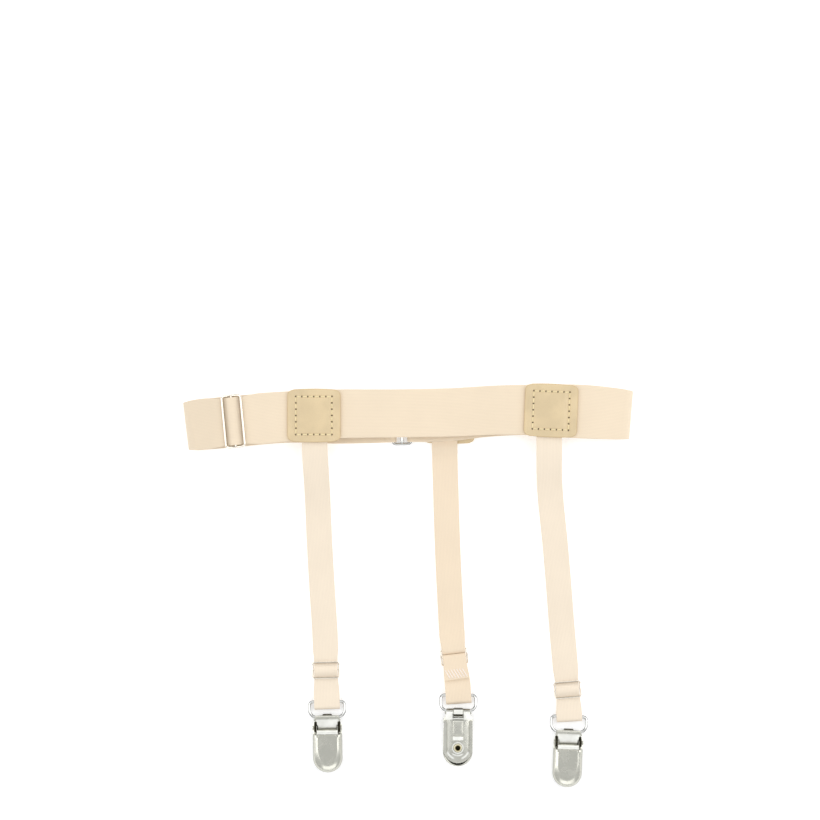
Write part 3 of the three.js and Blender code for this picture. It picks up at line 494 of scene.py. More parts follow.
class Strap:
    """Where one strap, its patch, slider, ring and clip are."""

    def __init__(self, name):
        self.name = name
        for key, value in STRAPS[name].items():
            setattr(self, key, value)
        spot = band_place(self.place * LOOP_LENGTH, 0, 0 if self.face_up else 1)[0]
        self.origin = Vector((spot.x, spot.y - self.drop, 0))
        self.slider = self.reach - self.slider_back
        self.facing = 1 if self.face_up else -1
        low = STRAP_THICKNESS / 2
        bar = low + STRAP_WRAP
        hump = bar + STRAP_WRAP + STRAP_PITCH
        ring_top = low + 2 * RING_WRAP

        def turned(stack, level):
            return level if self.face_up else stack - level

        at_slider = low + hump
        at_ring = low + ring_top
        lifted = FRONT_LEVEL + BAND_THICKNESS / 2 + GAP + low
        self.start = lifted if self.face_up else PATCH_THICKNESS + GAP + low
        self.single = low
        self.upper_run = turned(at_slider, low)
        self.hump = turned(at_slider, hump)
        self.lower_run = turned(at_slider, low + 2 * STRAP_PITCH)
        self.lower_return = turned(at_slider, low + STRAP_PITCH)
        self.wrap = turned(at_slider, bar + STRAP_WRAP)
        self.tail_level = turned(at_slider, low)
        self.bar = turned(at_slider, bar)
        self.ring_run = turned(at_ring, ring_top)
        self.ring_return = turned(at_ring, low)
        self.ring = turned(at_ring, low + RING_WRAP)
        above = self.start + STRAP_THICKNESS / 2 + GAP
        self.patch_level = above if self.face_up else PATCH_THICKNESS

    def spot(self, along, up, _layer=0):
        """Middle, direction across and width of the strap at a distance from its patch."""
        share = along / self.reach

        def sway(at):
            return follow(self.course, 1, at) * self.reach

        middle = Vector((self.origin.x + sway(share), self.origin.y - along, up))
        across = Vector((1, slope_of(sway, share, self.reach), 0)).normalized()
        distance = along - self.slider
        width = pinch(distance, STRAP_SLIDER_SPAN, STRAP_SLIDER_ROOM, STRAP_WIDTH)
        return middle, across, width

    def line(self):
        half = STRAP_SLIDER_SPAN / 2
        patch_edge = PATCH_HEIGHT / 2 + 2 * GAP
        fall = STRAP_FALL * abs(self.start - self.single)
        nest = STRAP_PITCH / 2 * self.facing
        tail_end = self.slider + self.tail
        course = Course(-STRAP_TUCK, self.start)
        course.run(patch_edge)
        course.ease(patch_edge + fall, self.single)
        if self.face_up:
            course.run(self.slider - half)
        else:
            course.run(self.slider - half - STRAP_CLIMB * self.upper_run)
            course.ease(self.slider - half, self.upper_run)
        course.ease(self.slider, self.hump)
        course.ease(self.slider + half, self.lower_run, -nest)
        course.run(tail_end)
        course.ease(self.reach, self.ring_run)
        course.run(self.reach + self.fold)
        course.turn(self.ring_return)
        course.run(max(self.reach, tail_end + 4 * STRAP_THICKNESS))
        course.ease(tail_end + STRAP_THICKNESS / 2, self.lower_return)
        course.run(self.slider + half)
        course.ease(self.slider, self.wrap, nest)
        course.turn(self.tail_level)
        course.run(tail_end)
        return course

    def turned_over(self):
        return Matrix.Rotation(0 if self.face_up else math.pi, 4, "X")

    def patch_matrix(self):
        """From the patch's own frame, face up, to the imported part's frame."""
        at = self.origin + SHIFT + Vector((0, 0, self.patch_level))
        turn = Matrix.Rotation(math.radians(self.patch_turn), 4, "Z")
        return Matrix.Translation(at) @ self.turned_over() @ turn

    def clip_matrix(self):
        """From the clip's own frame, x from ring bar to tip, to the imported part's."""
        end = self.spot(self.reach, 0)[0]
        turn = math.radians(self.clip_turn) - QUARTER
        at = end + SHIFT + RING_SPAN * Vector((math.cos(turn), math.sin(turn), 0))
        at.z = 0 if self.face_up else CLIP_HEIGHT
        return Matrix.Translation(at) @ Matrix.Rotation(turn, 4, "Z") @ self.turned_over()


# Mesh makers


def new_object(name, data):
    thing = bpy.data.objects.new(name, data)
    bpy.context.scene.collection.objects.link(thing)
    return thing


def finish_mesh(bm, sharp_angle=40):
    """Outward faces, shaded smooth up to the sharp angle."""
    bmesh.ops.recalc_face_normals(bm, faces=bm.faces)
    limit = math.radians(sharp_angle)
    for face in bm.faces:
        face.smooth = True
    for edge in bm.edges:
        edge.smooth = len(edge.link_faces) == 2 and edge.calc_face_angle(0) < limit


def mesh_from(name, shells, matrix=None, sharp_angle=40, planned=False):
    """One object from shells of (points in mm, faces, corner uv or None).

    A planned object also keeps where it lies in its own frame, in metres.
    """
    bm = bmesh.new()
    uv_layer = bm.loops.layers.uv.new("weave")
    for points, faces, uvs in shells:
        verts = [bm.verts.new(Vector(p) * MM) for p in points]
        for f, face in enumerate(faces):
            made = bm.faces.new([verts[i] for i in face])
            if uvs:
                for loop, uv in zip(made.loops, uvs[f]):
                    loop[uv_layer].uv = uv
    if planned:
        plan, rise = (bm.loops.layers.uv.new(word) for word in ("plan", "rise"))
        for face in bm.faces:
            for loop in face.loops:
                loop[plan].uv = loop.vert.co.xy
                loop[rise].uv = (loop.vert.co.z, 0)
    if matrix is not None:
        bm.transform(in_metres(matrix))
    finish_mesh(bm, sharp_angle)
    mesh = bpy.data.meshes.new(name)
    bm.to_mesh(mesh)
    bm.free()
    return new_object(name, mesh)


def joined(thing, other):
    """Adds another object's mesh to an object, and drops the other."""
    bm = bmesh.new()
    bm.from_mesh(other.data)
    bm.from_mesh(thing.data)
    finish_mesh(bm)
    bm.to_mesh(thing.data)
    bm.free()
    bpy.data.objects.remove(other)
    return thing


def note(thing, name, values):
    """Keeps a value for each point of an object, for its material to read."""
    thing.data.attributes.new(name, "FLOAT", "POINT").data.foreach_set("value", values)
    return thing


def keep_flanks(thing):
    """Notes how far the surface faces sideways, where painted shade darkens the metal."""
    return note(thing, "flank", [1 - abs(v.normal.z) for v in thing.data.vertices])


def keep_creases(thing, matrix, span, room, wire, ends, outward):
    """Notes how far a slider's surface faces the slider's middle, where shade lies.

    Ends and outward are the shares of it at the two ends and on the outer side.
    """
    local = in_metres(matrix).inverted()
    turned = local.to_3x3()
    values = []
    for v in thing.data.vertices:
        at, facing = local @ v.co / MM, turned @ v.normal
        inward = -math.copysign(1, at.x) * facing.x if abs(at.x) > wire else 0
        if abs(at.y) > room / 2 and abs(at.x) < span / 2 - wire / 2:
            inward = -math.copysign(ends, at.y) * facing.y
        values.append(inward if inward > 0 else -inward * outward)
    return note(thing, "flank", values)


def in_metres(matrix):
    scaled = matrix.copy()
    scaled.translation = matrix.translation * MM
    return scaled


def loft(rings, closes=False):
    """Shell through rings of equal point count; fans of triangles close its ends."""
    size = len(rings[0])
    points = [p for ring in rings for p in ring]
    faces = []
    for i in range(len(rings) if closes else len(rings) - 1):
        a, b = i * size, (i + 1) % len(rings) * size
        for j in range(size):
            k = (j + 1) % size
            faces.append((a + j, b + j, b + k, a + k))
    for start in () if closes else (0, (len(rings) - 1) * size):
        middle = sum((Vector(p) for p in points[start : start + size]), Vector()) / size
        points.append(middle)
        centre = len(points) - 1
        faces += [(start + j, start + (j + 1) % size, centre) for j in range(size)]
    return points, faces, None


def strip_section(width, thickness):
    """Points of a strip's rounded section, across and up."""
    round_off = 0.42 * thickness
    half, rise = width / 2, thickness / 2
    reach = half - round_off
    flats, arcs = 14, 3
    section = []
    for side, face in ((1, 1), (-1, 1), (-1, -1), (1, -1)):
        corner = []
        for i in range(arcs + 1):
            angle = QUARTER * i / arcs
            aside = half - round_off * (1 - math.cos(angle))
            corner.append((side * aside, face * (rise - round_off * (1 - math.sin(angle)))))
        if side == face:
            section += corner
            for i in range(1, flats):
                section.append((side * lerp(reach, -reach, i / flats), face * rise))
        else:
            section += reversed(corner)
    return section


def strip(points, thickness, place):
    """A strip along a course, with across and along in metres as its weave map."""
    stations = [place(*point) for point in points]
    last = len(stations) - 1

    def heading(i):
        i = min(max(i, 0), last - 1)
        return (stations[i + 1][0] - stations[i][0]).normalized()

    rings, travelled, sides = [], [0.0], []
    for i, (middle, across, width) in enumerate(stations):
        if i:
            travelled.append(travelled[-1] + (middle - stations[i - 1][0]).length)
        tangent = (heading(i - 1) + heading(i)).normalized()
        normal = tangent.cross(across).normalized()
        section = strip_section(width, thickness)
        sides.append([a for a, _ in section])
        rings.append([middle + SHIFT + across * a + normal * u for a, u in section])
    shell, faces, _ = loft(rings)
    size = len(rings[0])
    uvs = []
    for face in faces:
        corner = []
        for i in face:
            row, column = divmod(i, size)
            if row > last:
                row, column = (0, 0) if face[0] < size else (last, 0)
                corner.append((0, travelled[row] * MM))
                continue
            corner.append((sides[row][column] * MM, travelled[row] * MM))
        uvs.append(corner)
    return shell, faces, uvs


def circle(middle, across, up, radius, sides=WIRE_SIDES):
    turns = [2 * math.pi * k / sides for k in range(sides)]
    return [middle + (across * math.cos(t) + up * math.sin(t)) * radius for t in turns]


def wire_rings(points, wire):
    rings = []
    for i, point in enumerate(points):
        tangent = (points[(i + 1) % len(points)] - points[i - 1]).normalized()
        across = Vector((0, 0, 1)).cross(tangent).normalized()
        rings.append(circle(point, across, tangent.cross(across), wire / 2))
    return rings


def arc_points(x, y, radius, start, end, steps=12):
    turns = [lerp(start, end, i / steps) for i in range(steps + 1)]
    return [Vector((x + radius * math.cos(t), y + radius * math.sin(t))) for t in turns]


def straight(start, end, aside, steps):
    """Points from one place to another along, without its two ends."""
    return [Vector((lerp(start, end, i / steps), aside)) for i in range(1, steps)]


def raised(points, level):
    return [Vector((p.x, p.y, level)) for p in points]


def frame_outline(low, high, half_width, low_radius, high_radius):
    """A wire frame's plan, round at its four corners."""
    near, far = low + low_radius, high - high_radius
    return (
        arc_points(far, half_width - high_radius, high_radius, 0, QUARTER)
        + straight(far, near, half_width, 6)
        + arc_points(near, half_width - low_radius, low_radius, QUARTER, 2 * QUARTER)
        + arc_points(near, low_radius - half_width, low_radius, 2 * QUARTER, 3 * QUARTER)
        + straight(near, far, -half_width, 6)
        + arc_points(far, high_radius - half_width, high_radius, 3 * QUARTER, 4 * QUARTER)
    )


def rod(start, end, radius, sides=24, round_off=SOFT_EDGE):
    """A round bar between two points, with rounded rims."""
    start, end = Vector(start), Vector(end)
    axis = (end - start).normalized()
    across = axis.orthogonal().normalized()
    up = axis.cross(across)
    length = (end - start).length
    arc = [QUARTER * i / 4 for i in range(5)]
    rim = [(round_off * (1 - math.sin(a)), radius - round_off * (1 - math.cos(a))) for a in arc]
    rim.sort()
    profile = rim + sorted((length - along, reach) for along, reach in rim)
    return loft([circle(start + axis * a, across, up, reach, sides) for a, reach in profile])


def slider_shells(span, room, wire, bow, tilt):
    half, half_width = span / 2, (room + wire) / 2
    line = [
        Vector((p.x, p.y, bow * (p.x / half) ** 2 + tilt * p.x / half))
        for p in frame_outline(-half, half, half_width, wire, wire)
    ]
    across, up = Vector((1, 0, 0)), Vector((0, 0, 1))
    middles = [Vector((0, -half_width + 2 * half_width * i / 12, 0)) for i in range(13)]
    bar = [circle(middle, across, up, wire / 2) for middle in middles]
    return [loft(wire_rings(line, wire), closes=True), loft(bar)]


def ring_shells(rise):
    half_width = (RING_WIDTH - RING_WIRE) / 2
    outline = frame_outline(0, RING_SPAN, half_width, RING_STRAP_CORNER, RING_CLIP_CORNER)
    line = [Vector((p.x, p.y, rise * p.x / RING_SPAN)) for p in outline]
    return [loft(wire_rings(line, RING_WIRE), closes=True)]


def slab(outline, low, high, round_off=SOFT_EDGE):
    """A flat plate over a plan outline, with rounded rims and a fanned face each side."""
    outline = [Vector(point) for point in outline]
    middle = sum(outline, Vector((0, 0))) / len(outline)

    def inset(amount):
        made = []
        for i, point in enumerate(outline):
            tangent = outline[(i + 1) % len(outline)] - outline[i - 1]
            normal = Vector((tangent.y, -tangent.x)).normalized()
            if normal.dot(point - middle) < 0:
                normal = -normal
            made.append(point - normal * amount)
        return made

    rims = ((round_off, 0), (0.3 * round_off, 0.3 * round_off), (0, round_off))
    levels = [(amount, low + rise) for amount, rise in rims]
    levels += [(amount, high - rise) for amount, rise in reversed(rims)]
    return loft([raised(inset(amount), level) for amount, level in levels])


def pill(start, end, aside, radius):
    """A plan outline with a half circle at both ends."""
    near = arc_points(start + radius, aside, radius, QUARTER, 3 * QUARTER)
    return near + arc_points(end - radius, aside, radius, -QUARTER, QUARTER)


def mound(outline, foot, top, round_off):
    """A pressed ridge: a closed shell that rises or sinks from its foot with soft sides."""
    centre = sum(outline, Vector((0, 0))) / len(outline)
    rings = []
    steps = 6
    for i in range(steps + 1):
        share = i / steps
        level = lerp(foot, top, smoothstep(share, 0, 1))
        ring = []
        for point in outline:
            away = point - centre
            away.length = max(away.length - round_off * share, 0.1)
            ring.append(Vector((centre.x + away.x, centre.y + away.y, level)))
        rings.append(ring)
    return loft(rings)


def apply_modifiers(thing):
    """The evaluated mesh takes the place of the object's own, without modifiers."""
    graph = bpy.context.evaluated_depsgraph_get()
    baked = bpy.data.meshes.new_from_object(thing.evaluated_get(graph))
    old = thing.data
    thing.modifiers.clear()
    thing.data = baked
    bpy.data.meshes.remove(old)
    return thing


def cut_away(thing, shells, matrix=None):
    """Takes shells of the same frame out of an object, and keeps the result."""
    tool = mesh_from("cutter", shells, matrix)
    modifier = thing.modifiers.new("cut", "BOOLEAN")
    modifier.operation = "DIFFERENCE"
    modifier.solver = "EXACT"
    modifier.object = tool
    bpy.context.view_layer.update()
    apply_modifiers(thing)
    bpy.data.objects.remove(tool)
    return thing


def box_shell(x_low, x_high, half_width, low, high):
    corners = (
        (x_low, -half_width), (x_high, -half_width), (x_high, half_width), (x_low, half_width)
    )
    return loft([[Vector((x, y, z)) for x, y in corners] for z in (low, high)])


def dress(thing, material, body, slot, *nodes):
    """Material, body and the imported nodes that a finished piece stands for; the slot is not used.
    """
    if not thing.data.materials:
        thing.data.materials.append(material)
    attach(thing, body)
    if nodes:
        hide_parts(*nodes)
    return thing


# Shader nodes


class Term:
    """A socket that takes part in sums; each operation adds its own node."""

    def __init__(self, shader, socket):
        self.shader = shader
        self.socket = socket

    def maths(self, operation, *others):
        return self.shader.maths(operation, self, *others)

    def __add__(self, other):
        return self.maths("ADD", other)

    __radd__ = __add__

    def __mul__(self, other):
        return self.maths("MULTIPLY", other)

    __rmul__ = __mul__

    def __sub__(self, other):
        return self.maths("SUBTRACT", other)

    def __rsub__(self, other):
        return self.shader.maths("SUBTRACT", other, self)

    def __truediv__(self, other):
        return self.maths("DIVIDE", other)

    def __rtruediv__(self, other):
        return self.shader.maths("DIVIDE", other, self)

    def __pow__(self, other):
        return self.maths("POWER", other)

    def absolute(self):
        return self.maths("ABSOLUTE")

    def wave(self):
        """1 in the middle of each whole step and 0 between two steps."""
        turned = (self.maths("FRACT") - 0.5) * 2 * math.pi
        return turned.maths("COSINE") * 0.5 + 0.5

    def between(self, low, high, to_low=0.0, to_high=1.0):
        """Goes smoothly from one value to another as this one passes from low to high."""
        values = {"Value": self, "From Min": low, "From Max": high}
        values.update({"To Min": to_low, "To Max": to_high})
        return self.shader.node(
            "ShaderNodeMapRange", values, "Result", interpolation_type="SMOOTHSTEP"
        )

    def falls(self, low, high, share=1.0):
        return self.between(low, high, share, 0.0)

    def near(self, middle, reach, soft=0.25):
        """1 within a reach of the middle, and 0 beyond its soft edge."""
        return (self - middle).absolute().falls(reach - soft, reach + soft)


class Finish:
    """A material that is built node by node."""

    def __init__(self, name, **flat):
        self.material = bpy.data.materials.new(name)
        self.material.use_nodes = True
        self.nodes = self.material.node_tree.nodes
        self.links = self.material.node_tree.links
        self.nodes.clear()
        self.shader = self.nodes.new("ShaderNodeBsdfPrincipled")
        output = self.nodes.new("ShaderNodeOutputMaterial")
        self.links.new(self.shader.outputs[0], output.inputs["Surface"])
        self.dress(**flat)

    def dress(self, **values):
        """Fills the surface's own sockets, named with underscores, and gives the material."""
        for key, value in values.items():
            self.fill(self.shader.inputs[key.replace("_", " ").title()], value)
        return self.material

    def fill(self, socket, value):
        if isinstance(value, Term):
            self.links.new(value.socket, socket)
        elif socket.type == "RGBA":
            socket.default_value = (*value, 1)
        else:
            socket.default_value = value

    def node(self, kind, values=None, output=0, **settings):
        made = self.nodes.new(kind)
        for key, value in settings.items():
            setattr(made, key, value)
        for key, value in (values or {}).items():
            self.fill(made.inputs[key], value)
        return Term(self, made.outputs[output])

    def maths(self, operation, *terms):
        return self.node("ShaderNodeMath", dict(enumerate(terms)), operation=operation)

    def place(self):
        return self.node("ShaderNodeTexCoord", output="Object")

    def parts(self, vector):
        """The first two values of a vector."""
        split = self.node("ShaderNodeSeparateXYZ", {0: vector}).socket.node
        return Term(self, split.outputs["X"]), Term(self, split.outputs["Y"])

    def uv_pair(self, name):
        """Both values of one of the piece's own maps."""
        return self.parts(self.node("ShaderNodeUVMap", uv_map=name))

    def mark(self, name):
        return self.node("ShaderNodeAttribute", output="Fac", attribute_name=name)

    def noise(self, place, scale, detail=3.0, roughness=0.5, distortion=0.0):
        values = {"Vector": place, "Scale": scale, "Detail": detail}
        values.update({"Roughness": roughness, "Distortion": distortion})
        return self.node("ShaderNodeTexNoise", values)

    def cells(self, place, scale, feature="F1"):
        values = {"Vector": place, "Scale": scale}
        return self.node("ShaderNodeTexVoronoi", values, "Distance", feature=feature)

    def stretched(self, place, *scale):
        return self.node("ShaderNodeMapping", {"Vector": place, "Scale": scale})

    def blend(self, share, first, second):
        """Mixes two colours."""
        values = {0: share, 6: first, 7: second}
        return self.node("ShaderNodeMix", values, 2, data_type="RGBA")

    def bump(self, height, depth, strength):
        """Height from 0 to 1 over a depth in metres."""
        values = {"Height": height, "Distance": depth, "Strength": strength}
        return self.node("ShaderNodeBump", values, "Normal")


def linear(red, green, blue):
    """A colour picked from 0 to 255 on a screen, as light."""
    return tuple(
        c / 12.92 if c <= 0.04045 else ((c + 0.055) / 1.055) ** 2.4
        for c in (red / 255, green / 255, blue / 255)
    )


def darker(colour, share):
    return tuple(c * share for c in colour)


def elastic_finish(name, colour, settings, shaded=0.0):
    """Woven elastic: cords along the strip, each a row of small flat stitches.

    Painted shade lies on what is left of the slider, where the band's folded end curves down to the
    table.
    """
    finish = Finish(name, roughness=0.85, sheen_weight=0.35, sheen_roughness=0.5)
    across, along = finish.uv_pair("weave")
    wobble = finish.noise(finish.place(), 900, 2.0) - 0.5
    column = across / settings.cord_pitch + wobble * 0.12
    stagger = (column.maths("FLOOR") * 0.5).maths("FRACT")
    row = along / settings.pick_pitch + stagger + wobble * 0.1
    relief = (column.wave() ** 0.6) * (0.55 + row.wave() * 0.45)
    fibres = finish.noise(finish.place(), 5200, 3.0, 0.7)
    cloud = finish.noise(finish.place(), 34, 2.0)
    drawn = finish.node("ShaderNodeCombineXYZ", {"X": across * 700, "Y": along * 14})
    streaks = finish.noise(drawn, 1.0, 2.0)
    tone = cloud.between(0.3, 0.7, 0.0, 0.6) + streaks.between(0.35, 0.65, 0.0, 0.12)
    wear_and_shade = finish.blend(tone, colour, darker(colour, 0.95))
    if shaded:
        # Painted shade on the band's left end.
        end_shade = finish.parts(finish.place())[0].falls(*SHADED_END, shaded)
        wear_and_shade = finish.blend(end_shade, wear_and_shade, darker(colour, 0.75))
    grooves = relief.falls(0.0, 0.55, settings.groove_shade)
    return finish.dress(
        base_color=finish.blend(grooves, wear_and_shade, darker(colour, 0.62)),
        roughness=fibres.between(0.2, 0.8, 0.78, 0.95),
        normal=finish.bump(relief * 0.85 + fibres * 0.15, settings.weave_depth, 0.8),
    )


def leather_finish(settings):
    """Smooth grained leather, with painted shade in the stitch holes, and darker at its cut edge.
    """
    colour = tuple(settings.leather_colour)
    finish = Finish("patch leather", roughness=0.55)
    place = finish.place()
    pebbles = finish.cells(place, 1500)
    creases = finish.noise(finish.stretched(place, 260, 420, 260), 1.0, 4.0, 0.6, 0.4)
    grain = pebbles.between(0.0, 0.6) * 0.6 + creases * 0.4
    cloud = finish.noise(place, 70, 3.0)
    base = finish.blend(cloud.between(0.3, 0.7), colour, darker(colour, 0.88))
    base = finish.blend(grain.falls(0.2, 0.55, 0.3), base, darker(colour, 0.7))
    rim = finish.mark("rim")
    base = finish.blend(rim * 0.75, base, tuple(settings.edge_colour))
    # Painted shade in the stitch holes.
    hole = finish.mark("hole").between(0.15, 0.8)
    return finish.dress(
        base_color=finish.blend(hole * 0.92, base, tuple(settings.hole_shade_colour)),
        roughness=grain.between(0.1, 0.8, 0.62, 0.46) + rim * 0.2,
        normal=finish.bump(grain, settings.grain_depth, 0.7),
    )


def thread_finish(name, colour):
    finish = Finish(name, roughness=0.6, sheen_weight=0.4)
    fibres = finish.noise(finish.place(), 6000, 3.0, 0.6)
    return finish.dress(
        base_color=finish.blend(fibres.between(0.3, 0.7), colour, darker(colour, 0.82)),
        normal=finish.bump(fibres, 0.00008, 0.6),
    )


def clip_marks(finish):
    """Where a clip gets painted highlights, and painted shade in its gaps, in its own frame."""
    along, aside = (value * 1000 for value in finish.uv_pair("plan"))
    up = finish.uv_pair("rise")[0] * 1000
    out = aside.absolute()
    around = ((along - EYELET_AT) ** 2 + aside ** 2).maths("SQRT")
    back = up.falls(1.05, 1.25)

    def total(marks):
        found = []
        for x, x_reach, y, y_reach, soft, above, below, strength in marks:
            mark = along.near(x, x_reach, soft) * out.near(y, y_reach, soft)
            if above:
                mark = mark * up.between(*above)
            if below:
                mark = mark * up.falls(*below)
            found.append(mark * strength)
        return sum(found)

    cloud = finish.noise(finish.place(), 330, 2.0).between(0.3, 0.7, 0.72, 1.0)
    arcs = around.near(ARC_AT, 0.45) * along.between(23.4, 24.2) * out.between(1.6, 3.2)
    inner_arc = around.near(INNER_ARC_AT, 0.3) * along.between(24.6, 25.2)
    dimple = around.near(DIMPLE_AT, 0.3, 0.12) * 1.2
    # Painted highlights at the listed marks, the eyelet's dimple and arcs, and over the back face.
    bright = total(PAINTED_HIGHLIGHT_MARKS) + (dimple + arcs + inner_arc + 0.22) * back
    # Painted shade in the eyelet's well, along the tab's wrap, on the cover's foot, at the eyelet's
    # seat and beside the ribs.
    well = around.falls(*BORE) * up.between(1.3, 1.5) * up.falls(4.8, 5)
    wrap = along.falls(-1.15, -0.75)
    seat = around.near(SEAT_AT, 0.05, 0.12)
    ribs = (out.near(7.5, 0.1, 0.2) + out.near(5.7, 0.05, 0.2)) * along.between(5, 6)
    skirt = up.falls(3.0, 5.6) * along.between(9.8, 10.6) * up.between(2.2, 2.3)
    dark = total(SHADOW_MARKS) + well + wrap * 0.7 + skirt * 0.12
    dark = dark + (seat * 0.75 + ribs * 0.22) * back
    return bright.between(0.0, 1.15) * cloud, dark.between(0.0, 1.0)


def eyelet_marks(finish):
    """An eyelet's painted highlight on its rolled rim and painted shade in its bore, in the clip's
    own frame.
    """
    along, aside = (value * 1000 for value in finish.uv_pair("plan"))
    around = ((along - EYELET_AT) ** 2 + aside ** 2).maths("SQRT")
    return around.near(2.1, 0.16, 0.12) * 0.7, around.falls(1.4, 1.6, 0.88)


def metal_finish(name, colour, roughness, scratch, depth, flank_shade, grime=0.0, marks=None):
    """Plated metal: fine brushed lines, soft wear, tiny scratches and painted shade on its flanks.

    The flank shade is its strength, how far a surface turns aside where it starts and ends, and
    its colour.
    """
    strength, first, last, flank_shade_colour = flank_shade
    finish = Finish(name, metallic=1.0)
    place = finish.place()
    brushed = finish.noise(finish.stretched(place, 9000, 700, 2600), 1.0, 3.0, 0.6)
    patches = finish.noise(place, 160, 3.0, 0.6)
    lines = finish.cells(finish.stretched(place, 260, 1700, 800), 1.0, "DISTANCE_TO_EDGE")
    scratches = lines.falls(0.0, 0.02) * patches.between(0.5, 0.62)
    tone = patches.between(0.3, 0.75) * 0.35 + brushed.between(0.3, 0.7) * 0.15
    base = finish.blend(tone, colour, darker(colour, 0.86))
    base = finish.blend(scratches * scratch, base, darker(colour, 0.7))
    if grime:
        spots = finish.noise(place, 520, 4.0, 0.7).between(0.58, 0.74)
        base = finish.blend(spots * grime, base, darker(colour, 0.45))
    rough = patches.between(0.3, 0.7, roughness, roughness * 1.5) + scratches * 0.1
    # Painted shade on the flanks, by how far the surface faces sideways.
    base = finish.blend(finish.mark("flank").between(first, last) * strength, base, flank_shade_colour)
    if marks:
        bright, dark = marks(finish)
        # Painted highlights, then painted shade, from the marks.
        base = finish.blend(bright, base, PAINTED_HIGHLIGHT_COLOUR)
        base = finish.blend(dark * 0.97, base, SHADOW_COLOUR)
        rough = rough + bright * 0.38 + dark * 0.3
    relief = finish.bump(brushed * 0.7 + scratches * 0.3, depth, 0.5)
    return finish.dress(base_color=base, roughness=rough, normal=relief)


def rubber_finish(settings):
    colour = tuple(settings.pad_colour)
    finish = Finish("pad rubber", roughness=0.7)
    fine = finish.noise(finish.place(), 2600, 3.0, 0.6)
    cloud = finish.noise(finish.place(), 240, 2.0)
    return finish.dress(
        base_color=finish.blend(cloud.between(0.3, 0.7), colour, darker(colour, 0.86)),
        roughness=fine.between(0.2, 0.8, 0.62, 0.8),
        normal=finish.bump(fine, 0.00006, 0.6),
    )


def floor_finish(settings):
    colour = tuple(settings.floor_colour)
    finish = Finish("floor", roughness=0.9, emission_strength=settings.glow)
    cloud = finish.noise(finish.place(), 2.0, 2.0)
    pale = finish.blend(cloud.between(0.3, 0.7), colour, darker(colour, 0.985))
    return finish.dress(base_color=pale, emission_color=pale)


# Geometry Nodes


def stitch_tree():
    """A thread segment over each edge of a line, arched up and thin at its ends."""
    tree = bpy.data.node_groups.new("stitches", "GeometryNodeTree")
    tree.interface.new_socket("Geometry", in_out="OUTPUT", socket_type="NodeSocketGeometry")
    for label, kind, default in (
        ("Geometry", "Geometry", None),
        ("Thread Radius", "Float", 0.0003),
        ("Arch", "Float", 0.0003),
        ("Cover", "Float", 1.0),
        ("Up", "Vector", (0, 0, 1)),
        ("Material", "Material", None),
    ):
        socket_type = f"NodeSocket{kind}"
        socket = tree.interface.new_socket(label, in_out="INPUT", socket_type=socket_type)
        if default is not None:
            socket.default_value = default

    def node(kind, values=None, output=0, **settings):
        """A node with its settings, values and links, given as one of its outputs."""
        made = tree.nodes.new(kind)
        for key, value in settings.items():
            setattr(made, key, value)
        for key, value in (values or {}).items():
            if isinstance(value, bpy.types.NodeSocket):
                tree.links.new(value, made.inputs[key])
            else:
                made.inputs[key].default_value = value
        return made.outputs[output] if made.outputs else None

    maths, vector_maths = "ShaderNodeMath", "ShaderNodeVectorMath"
    combine, align = "ShaderNodeCombineXYZ", "FunctionNodeAlignRotationToVector"
    given = node("NodeGroupInput").node.outputs
    ends = node("GeometryNodeInputMeshEdgeVertices").node.outputs
    positions = {0: ends["Position 2"], 1: ends["Position 1"]}
    run = node(vector_maths, positions, operation="SUBTRACT")
    whole = {"Geometry": given["Geometry"]}
    kept = node("GeometryNodeCaptureAttribute", whole, domain="EDGE").node
    kept.capture_items.new("VECTOR", "Run")
    tree.links.new(run, kept.inputs["Run"])
    direction = kept.outputs["Run"]
    points = node("GeometryNodeMeshToPoints", {"Mesh": kept.outputs["Geometry"]}, mode="EDGES")
    length = node(vector_maths, {0: direction}, "Value", operation="LENGTH")
    facing = node(align, {"Vector": direction}, axis="X")
    upright = node(align, {"Rotation": facing, "Vector": given["Up"]}, axis="Z", pivot_axis="X")
    covered = node(maths, {0: length, 1: given["Cover"]}, operation="MULTIPLY")
    scale = node(combine, {"X": covered, "Y": 1.0, "Z": 1.0})
    top = node(combine, {"Z": given["Arch"]})
    line = node(
        "GeometryNodeCurveQuadraticBezier",
        {"Resolution": 10, "Start": (-0.5, 0, 0), "Middle": top, "End": (0.5, 0, 0)},
    )
    share = node("GeometryNodeSplineParameter", output="Factor")
    spread = {"Value": share, "From Min": 0.0, "From Max": 1.0, "To Min": -1.0, "To Max": 1.0}
    off = node("ShaderNodeMapRange", spread, "Result")
    steep = node(maths, {0: off, 1: THREAD_STEEPNESS}, operation="POWER")
    thin = node(maths, {0: steep, 1: -THREAD_THINNING, 2: 1.0}, operation="MULTIPLY_ADD")
    rounded = {"Resolution": 8, "Radius": given["Thread Radius"]}
    section = node("GeometryNodeCurvePrimitiveCircle", rounded)
    thread = node(
        "GeometryNodeCurveToMesh",
        {"Curve": line, "Profile Curve": section, "Scale": thin, "Fill Caps": True},
    )
    smooth = node("GeometryNodeSetShadeSmooth", {"Geometry": thread})
    placed = node(
        "GeometryNodeInstanceOnPoints",
        {"Points": points, "Instance": smooth, "Rotation": upright, "Scale": scale},
    )
    real = node("GeometryNodeRealizeInstances", {"Geometry": placed})
    painting = {"Geometry": real, "Material": given["Material"]}
    node("NodeGroupOutput", {"Geometry": node("GeometryNodeSetMaterial", painting)})
    return tree


